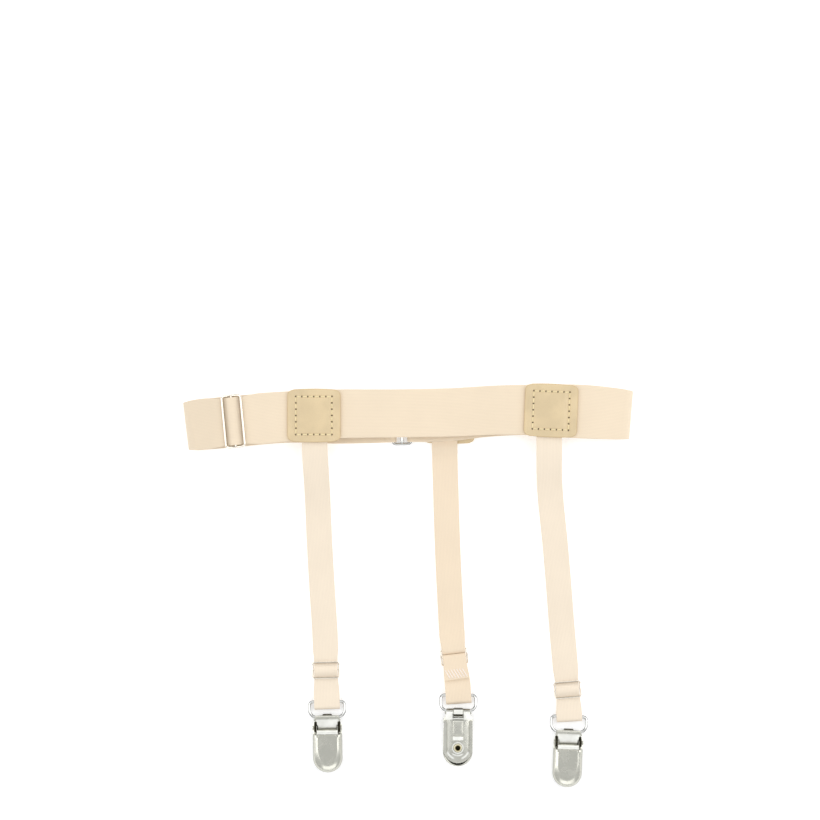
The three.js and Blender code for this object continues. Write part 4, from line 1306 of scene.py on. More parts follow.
def grown(name, tree, points, edges, values):
    """A plain mesh from a tree run on points in mm, pressed flat where the table is."""
    mesh = bpy.data.meshes.new(name)
    mesh.from_pydata([Vector(p) * MM for p in points], edges, [])
    thing = new_object(name, mesh)
    modifier = thing.modifiers.new("grow", "NODES")
    modifier.node_group = tree
    for item in tree.interface.items_tree:
        if item.item_type == "SOCKET" and item.in_out == "INPUT" and item.name in values:
            modifier[item.identifier] = values[item.name]
    bpy.context.view_layer.update()
    apply_modifiers(thing)
    for vertex in thing.data.vertices:
        vertex.co.z = max(vertex.co.z, 0)
    return thing


# Garter clip shapes, in the clip's own frame


def tongue(rear_inset, side_inset, tip_inset, level):
    """The cover's plan at one level, drawn in from its rear, its sides and its tip."""
    half = CLIP_WIDTH / 2 - side_inset
    rear = COVER_START + rear_inset
    tip = CLIP_REACH - tip_inset
    shoulder = CLIP_REACH - CLIP_WIDTH / 2 - COVER_TAPER * side_inset
    corner = COVER_CORNER
    points = arc_points(rear + corner, corner - half, corner, -math.pi, -QUARTER, 6)
    points += straight(rear + corner, shoulder, -half, 12)
    for i in range(49):
        angle = -QUARTER + math.pi * i / 48
        x, y = shoulder + (tip - shoulder) * math.cos(angle), half * math.sin(angle)
        points.append(Vector((x, y)))
    points += straight(shoulder, rear + corner, half, 12)
    points += arc_points(rear + corner, half - corner, corner, QUARTER, math.pi, 6)
    points += [Vector((rear, lerp(half - corner, corner - half, i / 8))) for i in range(1, 8)]
    return raised(points, level)


def cover_shell():
    """The cover: a flat face that breaks crisply into a round bevel, steep at its foot."""
    edge = WEB_TOP + 2 * GAP
    foot = edge + COVER_SKIRT * (CLIP_HEIGHT - edge)
    bevels = (COVER_REAR_BEVEL, COVER_SIDE_BEVEL, COVER_TIP_BEVEL)
    first, last = math.radians(COVER_BREAK), math.radians(COVER_FOOT)
    rim, steps = 0.15, 12
    outer = [(rim, rim, rim, edge), (0, 0, 0, edge + rim)]
    inner = [(SHEET, SHEET, SHEET, edge + rim)]
    for i in range(steps + 1):
        tilt = lerp(last, first, i / steps)
        share = (math.sin(last) - math.sin(tilt)) / (math.sin(last) - math.sin(first))
        climb = (math.cos(tilt) - math.cos(last)) / (math.cos(first) - math.cos(last))
        level = lerp(foot, CLIP_HEIGHT, climb)
        outer.append((*(share * bevel for bevel in bevels), level))
        inset, drop = SHEET * math.sin(tilt), SHEET * math.cos(tilt)
        inner.append((*(share * bevel + inset for bevel in bevels), level - drop))
    for more in (0.06, 0.6):
        outer.append((*(bevel + more for bevel in bevels), CLIP_HEIGHT))
    inner.append((*(bevel + 2 * SHEET for bevel in bevels), CLIP_HEIGHT - SHEET))
    return loft([tongue(*key) for key in (*reversed(inner), *outer)])


def side_plate(outline, side, inner, outer):
    """A plate drawn in side view, along and up, standing between two distances aside."""
    near, far = sorted((side * inner, side * outer))
    points, faces, uvs = slab(outline, near, far)
    return [Vector((p.x, p.z, p.y)) for p in points], faces, uvs


def lever_shells():
    """The bridge to the rolled lip, the roll, and on each side a lug, a pin and its head."""
    bridge = Course(ROLL_AT, ROLL_LEVEL + ROLL_RADIUS - SHEET / 2)
    bridge.ease(COVER_START + 3 * SHEET, CLIP_HEIGHT - SHEET / 2)
    half, rise = ROLL_WIDTH / 2 - GAP, SHEET / 2
    corners = ((half, rise), (-half, rise), (-half, -rise), (half, -rise))
    rings = [[Vector((along, y, up + z)) for y, z in corners] for along, up, _ in bridge.points]
    roll = ROLL_WIDTH / 2
    shells = [loft(rings)]
    shells.append(rod((ROLL_AT, -roll, ROLL_LEVEL), (ROLL_AT, roll, ROLL_LEVEL), ROLL_RADIUS, 32))
    for side in (-1, 1):
        shells.append(side_plate(lug_outline(), side, LUG_OUTER - SHEET, LUG_OUTER))
        outer = (PIVOT_AT, side * HEAD_OUTER, PIVOT_LEVEL)
        inner = (PIVOT_AT, side * (LUG_OUTER - SHEET / 2), PIVOT_LEVEL)
        shells.append(rod(inner, outer, PIVOT_RADIUS))
        head = (PIVOT_AT, side * HEAD_INNER, PIVOT_LEVEL)
        shells.append(rod(head, outer, PIVOT_HEAD_RADIUS, 24, 0.3))
    return shells


def lug_outline():
    angle = math.atan2(ROLL_LEVEL - PIVOT_LEVEL, ROLL_AT - PIVOT_AT)
    near = arc_points(PIVOT_AT, PIVOT_LEVEL, ROLL_RADIUS, angle + QUARTER, angle + 3 * QUARTER, 10)
    far = arc_points(ROLL_AT, ROLL_LEVEL, ROLL_RADIUS, angle - QUARTER, angle + QUARTER, 10)
    return near + far


def jaw_width(along, up, tab_end, neck_end):
    """Width of the jaw's sheet at a point of its line seen from the side."""
    wrap_top = RING_BAR_LEVEL + 0.75 * RING_HUG
    if up < wrap_top and (along < 0.3 or along < tab_end and up < RING_BAR_LEVEL):
        return TAB_WIDTH
    if along <= SHOULDER_END - 0.4:
        eased = smoothstep(along, 0, 1.2)
        return lerp(SHOULDER_WIDTH - 2 * SHOULDER_EASE, SHOULDER_WIDTH, eased)
    if along <= neck_end:
        share = smoothstep(along, SHOULDER_END - 0.4, SHOULDER_END + 0.5)
        return lerp(SHOULDER_WIDTH, NECK_WIDTH, share)
    beyond = smoothstep(along, JAW_REACH - JAW_WIDTH / 4, JAW_REACH)
    return lerp(JAW_WIDTH, 0.8 * JAW_WIDTH, beyond)


def jaw_shells():
    """One sheet from the tab through the slot, round the ring and on to the jaw's tip."""
    heel = RING_HUG + BASE_STRIP_START + GAP / 3
    curl, rise = TAB_CURL, SHEET / 2
    tip_at = BASE_STRIP + SLOT_LENGTH / 2
    course = Course(tip_at, WEB_TOP)
    for x, up, radius, start, end, steps in (
        (tip_at - curl, rise + curl, curl, 0, -QUARTER, 8),
        (heel - RING_HUG, rise + heel, heel, -QUARTER, -math.pi, 8),
        (0, RING_BAR_LEVEL, RING_HUG, math.pi, QUARTER, 14),
    ):
        for point in arc_points(x, up, radius, start, end, steps):
            course.add(*point)
    for along in (0.5, 1.2, SHOULDER_END - 0.5, SHOULDER_END, SHOULDER_END + 0.5):
        course.add(along, SHOULDER_LEVEL)
    neck_end = PIVOT_AT - ROLL_RADIUS - 2 * GAP
    course.run(neck_end)
    course.run(neck_end + rise)
    course.ease(ROLL_AT, JAW_LEVEL)
    course.run(JAW_REACH - JAW_WIDTH / 4)
    course.run(JAW_REACH)

    middles = [Vector((along, 0, up)) for along, up, _ in course.points]
    soft = 0.14
    rings = []
    for i, middle in enumerate(middles):
        before, after = middles[max(i - 1, 0)], middles[min(i + 1, len(middles) - 1)]
        tangent = (after - before).normalized()
        normal = tangent.cross(Vector((0, 1, 0))).normalized()
        half = jaw_width(middle.x, middle.z, tip_at + 0.1, neck_end) / 2
        section = [
            (half, rise - soft), (half - soft, rise), (0, rise), (soft - half, rise),
            (-half, rise - soft), (-half, soft - rise), (soft - half, -rise), (0, -rise),
            (half - soft, -rise), (half, soft - rise),
        ]
        rings.append([middle + Vector((0, a, 0)) + normal * u for a, u in section])
    return [loft(rings)]


def plate_outline():
    half = BASE_WIDTH / 2
    tip_middle = BASE_REACH - half
    neck = BASE_NECK_WIDTH / 2
    flare = half - neck
    lower = [Vector((lerp(BASE_STRIP_START, BASE_NECK_END, i / 3), -neck)) for i in range(4)]
    for i in range(1, 9):
        t = i / 8
        lower.append(Vector((BASE_NECK_END + 2 * flare * t, -neck - flare * (2 * t - t * t))))
    start = BASE_NECK_END + 2 * flare
    lower += straight(start, tip_middle, -half, 5)
    tip = arc_points(tip_middle, 0, half, -QUARTER, QUARTER, 40)
    return lower + tip + [Vector((p.x, -p.y)) for p in reversed(lower)]


def base_shells():
    """The back plate's ribs, panel and bar in relief, and its two ears."""
    rib_end = SIDE_RIB_START + SIDE_RIB_LENGTH
    side = BASE_WIDTH / 2 - SIDE_RIB_WIDTH / 2 - GAP / 3
    shells = []
    for sign in (-1, 1):
        outline = pill(SIDE_RIB_START, rib_end, sign * side, SIDE_RIB_WIDTH / 2)
        shells.append(mound(outline, RIB_DEPTH + SHEET / 2, 0, 0.45))
    for start, length, width, height in (
        (PANEL_START, PANEL_LENGTH, PANEL_WIDTH, PANEL_RELIEF),
        (EMBOSS_START, EMBOSS_LENGTH, EMBOSS_WIDTH, RELIEF),
    ):
        panel = rounded_box(start, start + length, width / 2, 0.6)
        shells.append(mound(panel, RIB_DEPTH + 0.05, RIB_DEPTH - height, 0.5))
    ear = arc_points(PIVOT_AT, PIVOT_LEVEL, EAR_RADIUS, 0, math.pi, 18)
    root = RIB_DEPTH + SHEET / 4
    ear += [Vector((PIVOT_AT - EAR_ROOT / 2, root)), Vector((PIVOT_AT + EAR_ROOT / 2, root))]
    return shells + [side_plate(ear, sign, EAR_INNER, EAR_OUTER) for sign in (-1, 1)]


def rounded_box(x_low, x_high, half_width, corner):
    corners = (
        (x_low + corner, corner - half_width, -math.pi),
        (x_high - corner, corner - half_width, -QUARTER),
        (x_high - corner, half_width - corner, 0),
        (x_low + corner, half_width - corner, QUARTER),
    )
    arcs = [arc_points(x, y, corner, start, start + QUARTER, 5) for x, y, start in corners]
    return sum(arcs, [])


def eyelet_shells():
    """A turned shape about the eyelet's axis, from its bore round the rolled rim to its top."""
    rim_high = RIB_DEPTH - GAP
    rim_low = rim_high - RELIEF
    outer = EYELET_HOLE + EYELET_WALL
    top = WEB_TOP + GAP + 0.7 * PAD_THICKNESS
    profile = [
        (EYELET_HOLE, rim_low + 0.3),
        (EYELET_HOLE + 0.1, rim_low + 0.1),
        (EYELET_HOLE + 0.3, rim_low + 0.02),
        ((EYELET_HOLE + EYELET_RIM) / 2, rim_low),
        (EYELET_RIM - 0.25, rim_low + 0.06),
        (EYELET_RIM - 0.07, rim_low + 0.18),
        (EYELET_RIM, rim_low + 0.34),
        (EYELET_RIM - 0.05, rim_high),
        (outer, rim_high),
        (outer, top - 0.1),
        (outer - 0.1, top),
        (EYELET_HOLE + 0.1, top),
        (EYELET_HOLE, top - 0.1),
    ]
    turns = [2 * math.pi * k / 48 for k in range(48)]
    rings = [
        [Vector((EYELET_AT + r * math.cos(t), r * math.sin(t), level)) for t in turns]
        for r, level in profile
    ]
    return [loft(rings, closes=True)]


def pad_outline():
    half = PAD_WIDTH / 2
    tip_middle = BASE_REACH - half - GAP
    start = EYELET_AT - half
    points = arc_points(start + 0.6, 0.6 - half, 0.6, -math.pi, -QUARTER, 4)
    points += arc_points(tip_middle, 0, half, -QUARTER, QUARTER, 28)
    return points + arc_points(start + 0.6, half - 0.6, 0.6, QUARTER, math.pi, 4)


# Leather patches, in the patch's own frame with its front up


def patch_levels(aside, strap):
    """Underside of a patch, pressed down on both sides of the strap it covers."""
    shift = strap.spot(0, 0)[0].x - strap.origin.x
    shoulder = STRAP_WIDTH / 2 + STRAP_THICKNESS + GAP
    foot = shoulder + 2.5 * STRAP_PITCH
    away = abs(aside - shift)
    straight = min(max((away - shoulder) / (foot - shoulder), 0), 1)
    soft = smoothstep(away, shoulder, foot)
    return -STRAP_PITCH * lerp(straight, soft, 0.4)


def patch_ring(inset):
    """Points round the patch at an inset from its edge, in equal shares a side."""
    half_width = PATCH_WIDTH / 2 - inset
    bow = PATCH_BULGE * max(0, 1 - inset / 6)
    half_height = PATCH_HEIGHT / 2 - PATCH_BULGE - inset
    corner = min(max(PATCH_CORNER - inset * 0.8, 0.25), half_width, half_height)
    bends = 8
    flats = PATCH_RING_POINTS // 4 - bends
    ring = []
    for side in range(4):
        wide, tall = (half_width, half_height) if side % 2 == 0 else (half_height, half_width)
        edge = []
        for i in range(flats):
            x, y = lerp(corner - wide, wide - corner, i / flats), -tall
            if side % 2 == 0:
                y -= bow * (1 - (x / max(wide, 0.1)) ** 2)
            edge.append((x, y))
        for i in range(bends):
            t = -QUARTER + QUARTER * i / bends
            x, y = wide - corner + corner * math.cos(t), corner - tall + corner * math.sin(t)
            edge.append((x, y))
        turn = Matrix.Rotation(side * QUARTER, 2)
        ring += [turn @ Vector(point) for point in edge]
    return ring


def stitch_holes():
    """Holes of the square of stitches, in order round it."""
    wide, tall, last = PATCH_STITCH_HALF_WIDTH, PATCH_STITCH_HALF_HEIGHT, HOLES_A_SIDE - 1
    corners = ((-wide, -tall), (wide, -tall), (wide, tall), (-wide, tall))
    return [
        Vector((lerp(start[0], end[0], i / last), lerp(start[1], end[1], i / last)))
        for start, end in zip(corners, (*corners[1:], corners[0]))
        for i in range(last)
    ]


def patch_mesh(strap):
    """The patch, and the height of its front at a point and how far that is a hole."""
    holes = stitch_holes()
    wide, tall = PATCH_STITCH_HALF_WIDTH, PATCH_STITCH_HALF_HEIGHT
    under_insets = (14.6, 12, 8, 4, 1.5, 0)
    top_insets = [0, 0.25, 0.6, 1.1, 1.8, 2.6, 3.2]
    top_insets += [3.4 + 0.22 * i for i in range(14)]
    top_insets += [6.9, 7.8, 8.8, 10, 11.2, 12.4, 13.6, 14.4]
    soft, seam_depth = 0.38, 0.14
    edge_steps, edge_rim = 6, 0.35

    def surface(point):
        level = patch_levels(point.x, strap) + PATCH_THICKNESS
        off = abs(max(abs(point.x) - wide, abs(point.y) - tall))
        if off < 1:
            level -= seam_depth * (1 - off) ** 2 * (1 + 2 * off)
        near = min((point - hole).length for hole in holes)
        mark = 1 - smoothstep(near, 0.3 * HOLE_RADIUS, 1.5 * HOLE_RADIUS)
        return level - HOLE_DEPTH * mark, mark

    rings, marks, rims = [], [], []

    def keep(ring, levels, rim, mark=None):
        rings.append([Vector((p.x, p.y, level)) for p, level in zip(ring, levels)])
        marks.extend(mark or [0.0] * len(ring))
        rims.extend([rim] * len(ring))

    for inset in under_insets:
        ring = patch_ring(inset + soft)
        keep(ring, [patch_levels(p.x, strap) for p in ring], 0.0)
    for i in range(1, edge_steps):
        angle = math.pi * i / edge_steps
        ring = patch_ring(soft * (1 - math.sin(angle)))
        rise = PATCH_THICKNESS * ((1 - math.cos(angle)) / 2)
        keep(ring, [patch_levels(p.x, strap) + rise for p in ring], 1.0)
    for inset in top_insets:
        ring = patch_ring(inset + soft)
        levels, mark = zip(*(surface(p) for p in ring))
        keep(ring, levels, 0.0 if inset else edge_rim, mark)
    thing = mesh_from(f"{strap.name}_leather_patch", [loft(rings)], strap.patch_matrix(), 60)
    for name, values in (("hole", marks), ("rim", rims)):
        note(thing, name, values + [0.0, 0.0])
    return thing, surface


# What a user may change


def colour_setting(name, description, default):
    return bpy.props.FloatVectorProperty(
        name=name, description=description, default=default, subtype="COLOR", size=3, min=0, max=1
    )


def length_setting(name, description, default):
    return bpy.props.FloatProperty(
        name=name, description=description, default=default,
        subtype="DISTANCE", unit="LENGTH", precision=5,
    )


def share_setting(name, description, default):
    return bpy.props.FloatProperty(
        name=name, description=description, default=default, subtype="FACTOR", min=0, max=1
    )


class ElasticSettings(bpy.types.PropertyGroup):
    band_colour: colour_setting("Band", "Colour of the thigh band", linear(238, 220, 194))
    strap_colour: colour_setting("Straps", "Colour of the straps", linear(240, 225, 204))
    reverse_colour: colour_setting(
        "Strap Backs", "Colour of the straps' back", linear(238, 219, 193))
    cord_pitch: length_setting("Cord pitch", "Distance between cords across the weave", 0.00085)
    pick_pitch: length_setting("Pick pitch", "Distance between rows along the weave", 0.0007)
    weave_depth: length_setting("Weave depth", "Height of the cords over the grooves", 0.00008)
    groove_shade: share_setting("Groove shade", "How much the grooves darken", 0.16)


class LeatherSettings(bpy.types.PropertyGroup):
    leather_colour: colour_setting("Leather", "Colour of the patches", linear(222, 200, 160))
    edge_colour: colour_setting(
        "Cut edge", "Colour of the patches' cut edge", linear(206, 180, 134))
    # Painted shade inside the stitch holes.
    hole_shade_colour: colour_setting(
        "Stitch holes", "Colour inside the stitch holes", linear(60, 36, 4))
    grain_depth: length_setting("Grain depth", "Height of the leather's grain", 0.00009)


class ThreadSettings(bpy.types.PropertyGroup):
    colour: colour_setting("Thread", "Colour of the patches' thread", linear(246, 228, 180))
    tack_colour: colour_setting(
        "Tack thread", "Colour of the thread that tacks the tails", linear(255, 244, 236))
    radius: length_setting("Radius", "Radius of the patches' thread", 0.00036)
    tack_radius: length_setting("Tack radius", "Radius of the tails' tacking thread", 0.0003)


class MetalSettings(bpy.types.PropertyGroup):
    wire_colour: colour_setting("Wire", "Colour of the rings and the clasp", (0.90, 0.90, 0.87))
    # The sliders' cream is partly the metal's own colour and partly a painted reflection of the
    # elastic.
    slider_colour: colour_setting("Sliders", "Colour of the sliders", (0.96, 0.91, 0.82))
    crease_colour: colour_setting(
        "Creases", "Shade where a strap turns over its slider", (0.30, 0.23, 0.13))
    clip_colour: colour_setting("Clips", "Colour of the pressed clips", (0.80, 0.79, 0.70))
    eyelet_colour: colour_setting("Eyelets", "Colour of the eyelets", (0.62, 0.54, 0.30))
    pad_colour: colour_setting("Pads", "Colour of the grip pads", linear(236, 228, 222))
    scratches: share_setting("Scratches", "Strength of the scratches in the plating", 0.5)


class StageSettings(bpy.types.PropertyGroup):
    camera_height: length_setting("Camera height", "Height of the camera over the table", 1.5)
    view_width: length_setting("View width", "Width of the table in the picture", 0.4822)
    floor_colour: colour_setting("Floor", "Colour of the floor", (0.93, 0.93, 0.93))
    glow: bpy.props.FloatProperty(
        name="Glow", description="Light that comes up through the table", min=0, default=0.3)
    key_power: bpy.props.FloatProperty(
        name="Side light", description="Power of each softbox beside the table",
        subtype="POWER", unit="POWER", default=6)
    sky: bpy.props.FloatProperty(
        name="Room light", description="Brightness of the room", min=0, default=0.55)


def settings(name):
    return getattr(bpy.context.scene, f"stay_{name}")


# Pieces


def plated(name, colour, roughness, depth, flank_shade, *more):
    """A metal finish, made once however many operators use it."""
    scratch = settings("metal").scratches
    return bpy.data.materials.get(name) or metal_finish(
        name, tuple(colour), roughness, scratch, depth, flank_shade, *more
    )


def clip_material():
    colour = settings("metal").clip_colour
    # Painted shade on the clips' flanks.
    flank_shade = (0.5, 0.16, 0.55, darker(colour, 0.12))
    return plated("clip nickel", colour, 0.2, 0.00002, flank_shade, 0.12, clip_marks)


def all_straps():
    return [Strap(name) for name in STRAPS]


def route_length(points):
    return sum((Vector(a[:2]) - Vector(b[:2])).length for a, b in zip(points, points[1:])) * MM


class STAY_OT_thigh_band(bpy.types.Operator):
    """Weaves the elastic band through its slider and its clasp"""

    bl_idname = "stay.thigh_band"
    bl_label = "Thigh Band"

    def execute(self, context):
        elastic = settings("elastic")
        course = band_course().points
        band = mesh_from("elastic_band", [strip(course, BAND_THICKNESS, band_place)])
        weave = elastic_finish("band elastic", tuple(elastic.band_colour), elastic, 0.28)
        dress(band, weave, "root", "band_elastic", "thigh_band")
        flat = (BAND_WIDTH * MM, route_length(course))
        return {"FINISHED"}


class STAY_OT_straps(bpy.types.Operator):
    """Lays the three straps through their sliders and round their rings"""

    bl_idname = "stay.straps"
    bl_label = "Straps"

    def execute(self, context):
        elastic = settings("elastic")
        front = elastic_finish("strap elastic", tuple(elastic.strap_colour), elastic)
        back = elastic_finish("strap elastic back", tuple(elastic.reverse_colour), elastic)
        for strap in all_straps():
            course = strap.line().points
            shell = strip(course, STRAP_THICKNESS, strap.spot)
            piece = mesh_from(f"{strap.name}_elastic_strap", [shell])
            weave = front if strap.face_up else back
            dress(piece, weave, "root", "strap_elastic", f"{strap.name}_strap")
            flat = (STRAP_WIDTH * MM, route_length(course))
        return {"FINISHED"}


class STAY_OT_patches(bpy.types.Operator):
    """Cuts the leather patches and sews them on"""

    bl_idname = "stay.patches"
    bl_label = "Patches"

    def execute(self, context):
        leather = leather_finish(settings("leather"))
        thread = settings("thread")
        cream = thread_finish("patch thread", tuple(thread.colour))
        tree = stitch_tree()
        holes = stitch_holes()
        edges = [(i, (i + 1) % len(holes)) for i in range(len(holes))]
        sunk = 0.5 * HOLE_DEPTH
        for strap in all_straps():
            patch, surface = patch_mesh(strap)
            dress(patch, leather, "root", "patch_leather", f"{strap.name}_patch")
            matrix = strap.patch_matrix()
            points = [matrix @ Vector((p.x, p.y, surface(p)[0] + sunk)) for p in holes]
            values = {
                "Thread Radius": thread.radius, "Arch": 0.0009, "Cover": 0.82,
                "Up": (0, 0, strap.facing), "Material": cream,
            }
            seam = grown(f"{strap.name}_patch_stitches", tree, points, edges, values)
            dress(seam, cream, "root", "patch_leather")
        return {"FINISHED"}


class STAY_OT_tacks(bpy.types.Operator):
    """Tacks the sewn tails down with a row of leaning strokes"""

    bl_idname = "stay.tacks"
    bl_label = "Tacks"

    def execute(self, context):
        thread = settings("thread")
        pale = thread_finish("tack thread", tuple(thread.tack_colour))
        tree = stitch_tree()
        last = TACK_STROKES - 1
        edges = [(2 * i, 2 * i + 1) for i in range(TACK_STROKES)]
        for strap in all_straps():
            outward = -strap.facing
            level = strap.tail_level + outward * (STRAP_THICKNESS / 2 + 0.02)
            end = strap.slider + strap.tail - 0.7
            points = []
            for i in range(TACK_STROKES):
                first = lerp(-TACK_HALF_WIDTH, TACK_HALF_WIDTH - TACK_LEAN, i / last)
                for aside, along in ((first, end - TACK_LENGTH), (first + TACK_LEAN, end)):
                    middle, across, _ = strap.spot(along, level)
                    points.append(middle + across * aside + SHIFT)
            values = {
                "Thread Radius": thread.tack_radius, "Arch": 0.00012, "Cover": 1.0,
                "Up": (0, 0, outward), "Material": pale,
            }
            tack = grown(f"{strap.name}_tail_tack", tree, points, edges, values)
            dress(tack, pale, "root", "strap_elastic")
        return {"FINISHED"}


class STAY_OT_wires(bpy.types.Operator):
    """Bends the sliders, the clasp and the rings"""

    bl_idname = "stay.wires"
    bl_label = "Wires"

    def execute(self, context):
        metal = settings("metal")
        # Painted shade on the wires' flanks.
        flank_shade = (0.9, 0.06, 0.4, darker(metal.wire_colour, 0.12))
        chrome = plated("wire chrome", metal.wire_colour, 0.1, 0.00001, flank_shade)
        # Painted shade on the slider bars, strongest on the side that faces the slider's middle.
        crease = (0.95, 0.2, 0.7, tuple(metal.crease_colour))
        # Slider metal, tinted partly with a painted reflection of the elastic.
        cream = plated("slider chrome", metal.slider_colour, 0.16, 0.00001, crease)

        def bend(name, node, shells, at, turn, creases=None):
            matrix = Matrix.Translation(at + SHIFT) @ Matrix.Rotation(turn, 4, "Z")
            wire = mesh_from(name, shells, matrix)
            if creases:
                keep_creases(wire, matrix, *creases)
            else:
                keep_flanks(wire)
            dress(wire, cream if creases else chrome, "root", "wire_chrome", node)

        def band_wire(name, node, share, layer, level, size, bow, creases=None):
            middle, across, _ = band_place(share * LOOP_LENGTH, level, layer)
            middle.z = level
            turn = math.atan2(-across.x, across.y)
            bend(name, node, slider_shells(*size, bow, 0), middle, turn, creases)

        size = (BAND_SLIDER_SPAN, BAND_SLIDER_ROOM, BAND_SLIDER_WIRE)
        band_wire("band_wire_slider", "band_slider", BAND_SLIDER_PLACE, 0, BAND_SLIDER_LEVEL,
                  size, BAND_SLIDER_BOW, (*size, 1, 0.42))
        band_wire("band_wire_clasp", "clasp", CLASP_PLACE, 1, CLASP_LEVEL,
                  (CLASP_SPAN, BAND_SLIDER_ROOM, BAND_SLIDER_WIRE), 0)
        size = (STRAP_SLIDER_SPAN, STRAP_SLIDER_ROOM, STRAP_SLIDER_WIRE)
        for strap in all_straps():
            name = strap.name
            middle, across, _ = strap.spot(strap.slider, strap.bar)
            lift = strap.facing * STRAP_PITCH
            turn = math.atan2(across.y, across.x) - QUARTER
            shells = slider_shells(*size, lift, lift)
            bend(f"{name}_wire_slider", f"{name}_strap_slider", shells, middle, turn, (*size, 0, 0))
            end = strap.spot(strap.reach, strap.ring)[0]
            bar = RING_BAR_LEVEL if strap.face_up else CLIP_HEIGHT - RING_BAR_LEVEL
            turn = math.radians(strap.clip_turn) - QUARTER
            shells = ring_shells(bar - strap.ring)
            bend(f"{name}_wire_ring", f"{name}_clip_ring", shells, end, turn)
        return {"FINISHED"}


class STAY_OT_clip_backs(bpy.types.Operator):
    """Presses the clips' back plates and sets their eyelets and grip pads"""

    bl_idname = "stay.clip_backs"
    bl_label = "Clip Backs"

    def execute(self, context):
        nickel = clip_material()
        metal = settings("metal")
        # Painted shade on the eyelets' flanks.
        flank_shade = (0.4, 0.3, 0.9, darker(metal.eyelet_colour, 0.12))
        brass = plated(
            "eyelet brass", metal.eyelet_colour, 0.3, 0.00002, flank_shade, 0.2, eyelet_marks
        )
        rubber = rubber_finish(metal)
        room = EYELET_HOLE + EYELET_WALL + GAP
        slot_half = TAB_WIDTH / 2 + 2 * GAP
        hole = rod((EYELET_AT, 0, -1), (EYELET_AT, 0, 2 * WEB_TOP), room, 40, 0)
        slot = box_shell(BASE_STRIP, BASE_STRIP + SLOT_LENGTH, slot_half, -1, 2 * WEB_TOP)
        bottom = WEB_TOP + GAP
        for strap in all_straps():
            matrix = strap.clip_matrix()
            name = strap.name
            sheet = [slab(plate_outline(), RIB_DEPTH, WEB_TOP)]
            plate = cut_away(mesh_from("plate", sheet, matrix, planned=True), [hole, slot], matrix)
            back = mesh_from(f"{name}_back_plate", base_shells(), matrix, planned=True)
            keep_flanks(joined(back, plate))
            dress(back, nickel, "root", "clip_nickel", f"{name}_clip_base")
            eyelet = mesh_from(f"{name}_brass_eyelet", eyelet_shells(), matrix, planned=True)
            dress(keep_flanks(eyelet), brass, "root", "eyelet_brass", f"{name}_clip_eyelet")
            sheet = [slab(pad_outline(), bottom, bottom + PAD_THICKNESS, 0.2)]
            pad = cut_away(mesh_from(f"{name}_rubber_pad", sheet, matrix), [hole], matrix)
            dress(pad, rubber, "root", "pad_rubber", f"{name}_grip_pad")
        return {"FINISHED"}


class STAY_OT_clip_jaws(bpy.types.Operator):
    """Presses the clips' front jaws with their hooked tabs"""

    bl_idname = "stay.clip_jaws"
    bl_label = "Clip Jaws"

    def execute(self, context):
        nickel = clip_material()
        for strap in all_straps():
            name, matrix = strap.name, strap.clip_matrix()
            jaw = keep_flanks(mesh_from(f"{name}_front_jaw", jaw_shells(), matrix, planned=True))
            dress(jaw, nickel, f"{name}_jaw", "clip_nickel", f"{name}_clip_jaw")
        return {"FINISHED"}


class STAY_OT_clip_levers(bpy.types.Operator):
    """Presses the clips' covers with their rolled cam lips and pivots"""

    bl_idname = "stay.clip_levers"
    bl_label = "Clip Levers"

    def execute(self, context):
        nickel = clip_material()
        under_lip = ROLL_LEVEL - ROLL_RADIUS
        passage = box_shell(ROLL_AT, COVER_START + 4 * SHEET, EAR_INNER, -1, under_lip)
        for strap in all_straps():
            name, matrix = strap.name, strap.clip_matrix()
            cover = mesh_from("cover", [cover_shell()], matrix, planned=True)
            cut_away(cover, [passage], matrix)
            lever = mesh_from(f"{name}_cam_cover", lever_shells(), matrix, planned=True)
            keep_flanks(joined(lever, cover))
            dress(lever, nickel, f"{name}_lever", "clip_nickel", f"{name}_clip_lever")
        return {"FINISHED"}


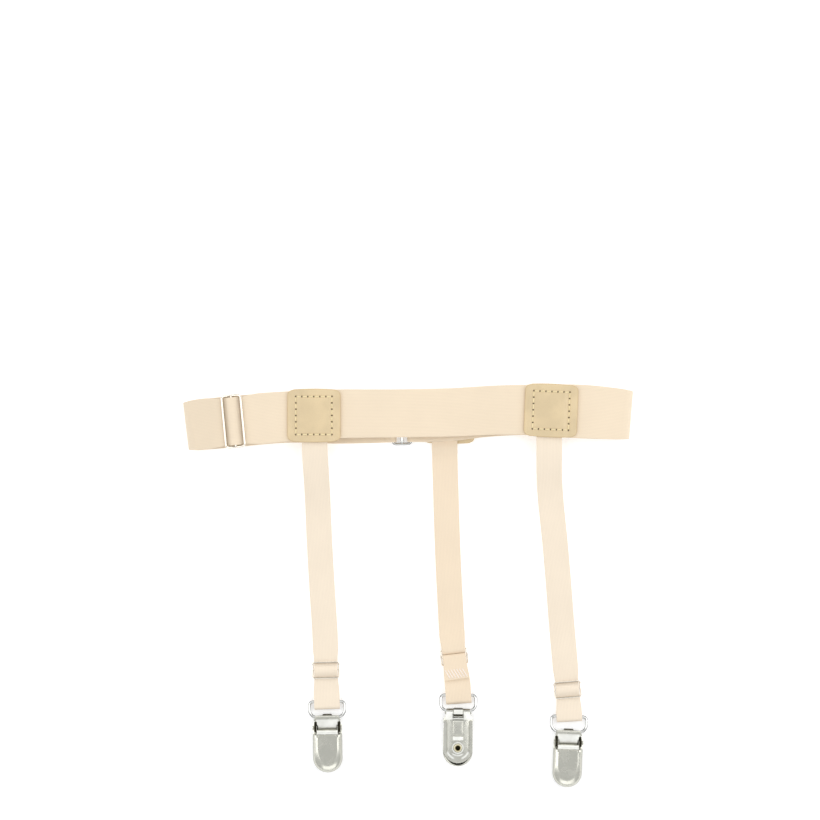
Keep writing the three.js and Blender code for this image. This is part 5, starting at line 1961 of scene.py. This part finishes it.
class STAY_OT_stage(bpy.types.Operator):
    """Sets up the floor, the soft light and the camera over the table"""

    bl_idname = "stay.stage"
    bl_label = "Stage"

    def execute(self, context):
        stage, scene = settings("stage"), context.scene
        mesh = bpy.data.meshes.new("floor")
        corners = [(x * FLOOR_REACH, y * FLOOR_REACH, 0) for x, y in (
            (-1, -1), (1, -1), (1, 1), (-1, 1))]
        mesh.from_pydata(corners, [], [(0, 1, 2, 3)])
        mesh.materials.append(floor_finish(stage))
        new_object("floor", mesh)
        world = bpy.data.worlds.new("room")
        scene.world = world
        world.use_nodes = True
        background = world.node_tree.nodes["Background"]
        background.inputs["Color"].default_value = (0.97, 0.985, 1, 1)
        background.inputs["Strength"].default_value = stage.sky
        middle = Vector((0, -0.05, 0))
        for name, at, size, share in SOFTBOXES:
            light = bpy.data.lights.new(name, "AREA")
            light.shape = "RECTANGLE"
            light.size, light.size_y = size
            light.energy = stage.key_power * share
            lamp = new_object(name, light)
            lamp.location = at
            lamp.rotation_euler = (middle - Vector(at)).to_track_quat("-Z", "Y").to_euler()
        lens = bpy.data.cameras.new("camera")
        lens.sensor_width = 36
        lens.lens = lens.sensor_width * stage.camera_height / stage.view_width
        lens.clip_start = 0.05
        scene.camera = new_object("camera", lens)
        scene.camera.location = CAMERA_SHIFT * MM + SHIFT * MM
        scene.camera.location.z = stage.camera_height
        scene.view_settings.view_transform = "Standard"
        scene.view_settings.look = "None"
        return {"FINISHED"}


class STAY_PT_panel(bpy.types.Panel):
    """The stay's settings and the steps that make it"""

    bl_idname = "STAY_PT_panel"
    bl_label = "Shirt Stay"
    bl_space_type = "VIEW_3D"
    bl_region_type = "UI"
    bl_category = "Shirt Stay"

    def draw(self, context):
        for name, group in GROUPS.items():
            column = self.layout.box().column()
            column.label(text=name.title())
            for key in group.__annotations__:
                column.prop(settings(name), key)
        for operator in OPERATORS:
            self.layout.operator(operator.bl_idname)


GROUPS = {
    "elastic": ElasticSettings,
    "leather": LeatherSettings,
    "thread": ThreadSettings,
    "metal": MetalSettings,
    "stage": StageSettings,
}
OPERATORS = (
    STAY_OT_wires,
    STAY_OT_patches,
    STAY_OT_thigh_band,
    STAY_OT_straps,
    STAY_OT_tacks,
    STAY_OT_clip_backs,
    STAY_OT_clip_jaws,
    STAY_OT_clip_levers,
    STAY_OT_stage,
)
CLASSES = (*GROUPS.values(), *OPERATORS, STAY_PT_panel)


def register():
    for cls in CLASSES:
        bpy.utils.register_class(cls)
    for name, group in GROUPS.items():
        setattr(bpy.types.Scene, f"stay_{name}", bpy.props.PointerProperty(type=group))


def unregister():
    for name in GROUPS:
        delattr(bpy.types.Scene, f"stay_{name}")
    for cls in reversed(CLASSES):
        bpy.utils.unregister_class(cls)


def main():
    register()
    bpy.ops.stay.wires()
    bpy.ops.stay.patches()
    bpy.ops.stay.thigh_band()
    bpy.ops.stay.straps()
    bpy.ops.stay.tacks()
    bpy.ops.stay.clip_backs()
    bpy.ops.stay.clip_jaws()
    bpy.ops.stay.clip_levers()
    bpy.ops.stay.stage()


if __name__ == "__main__":
    main()
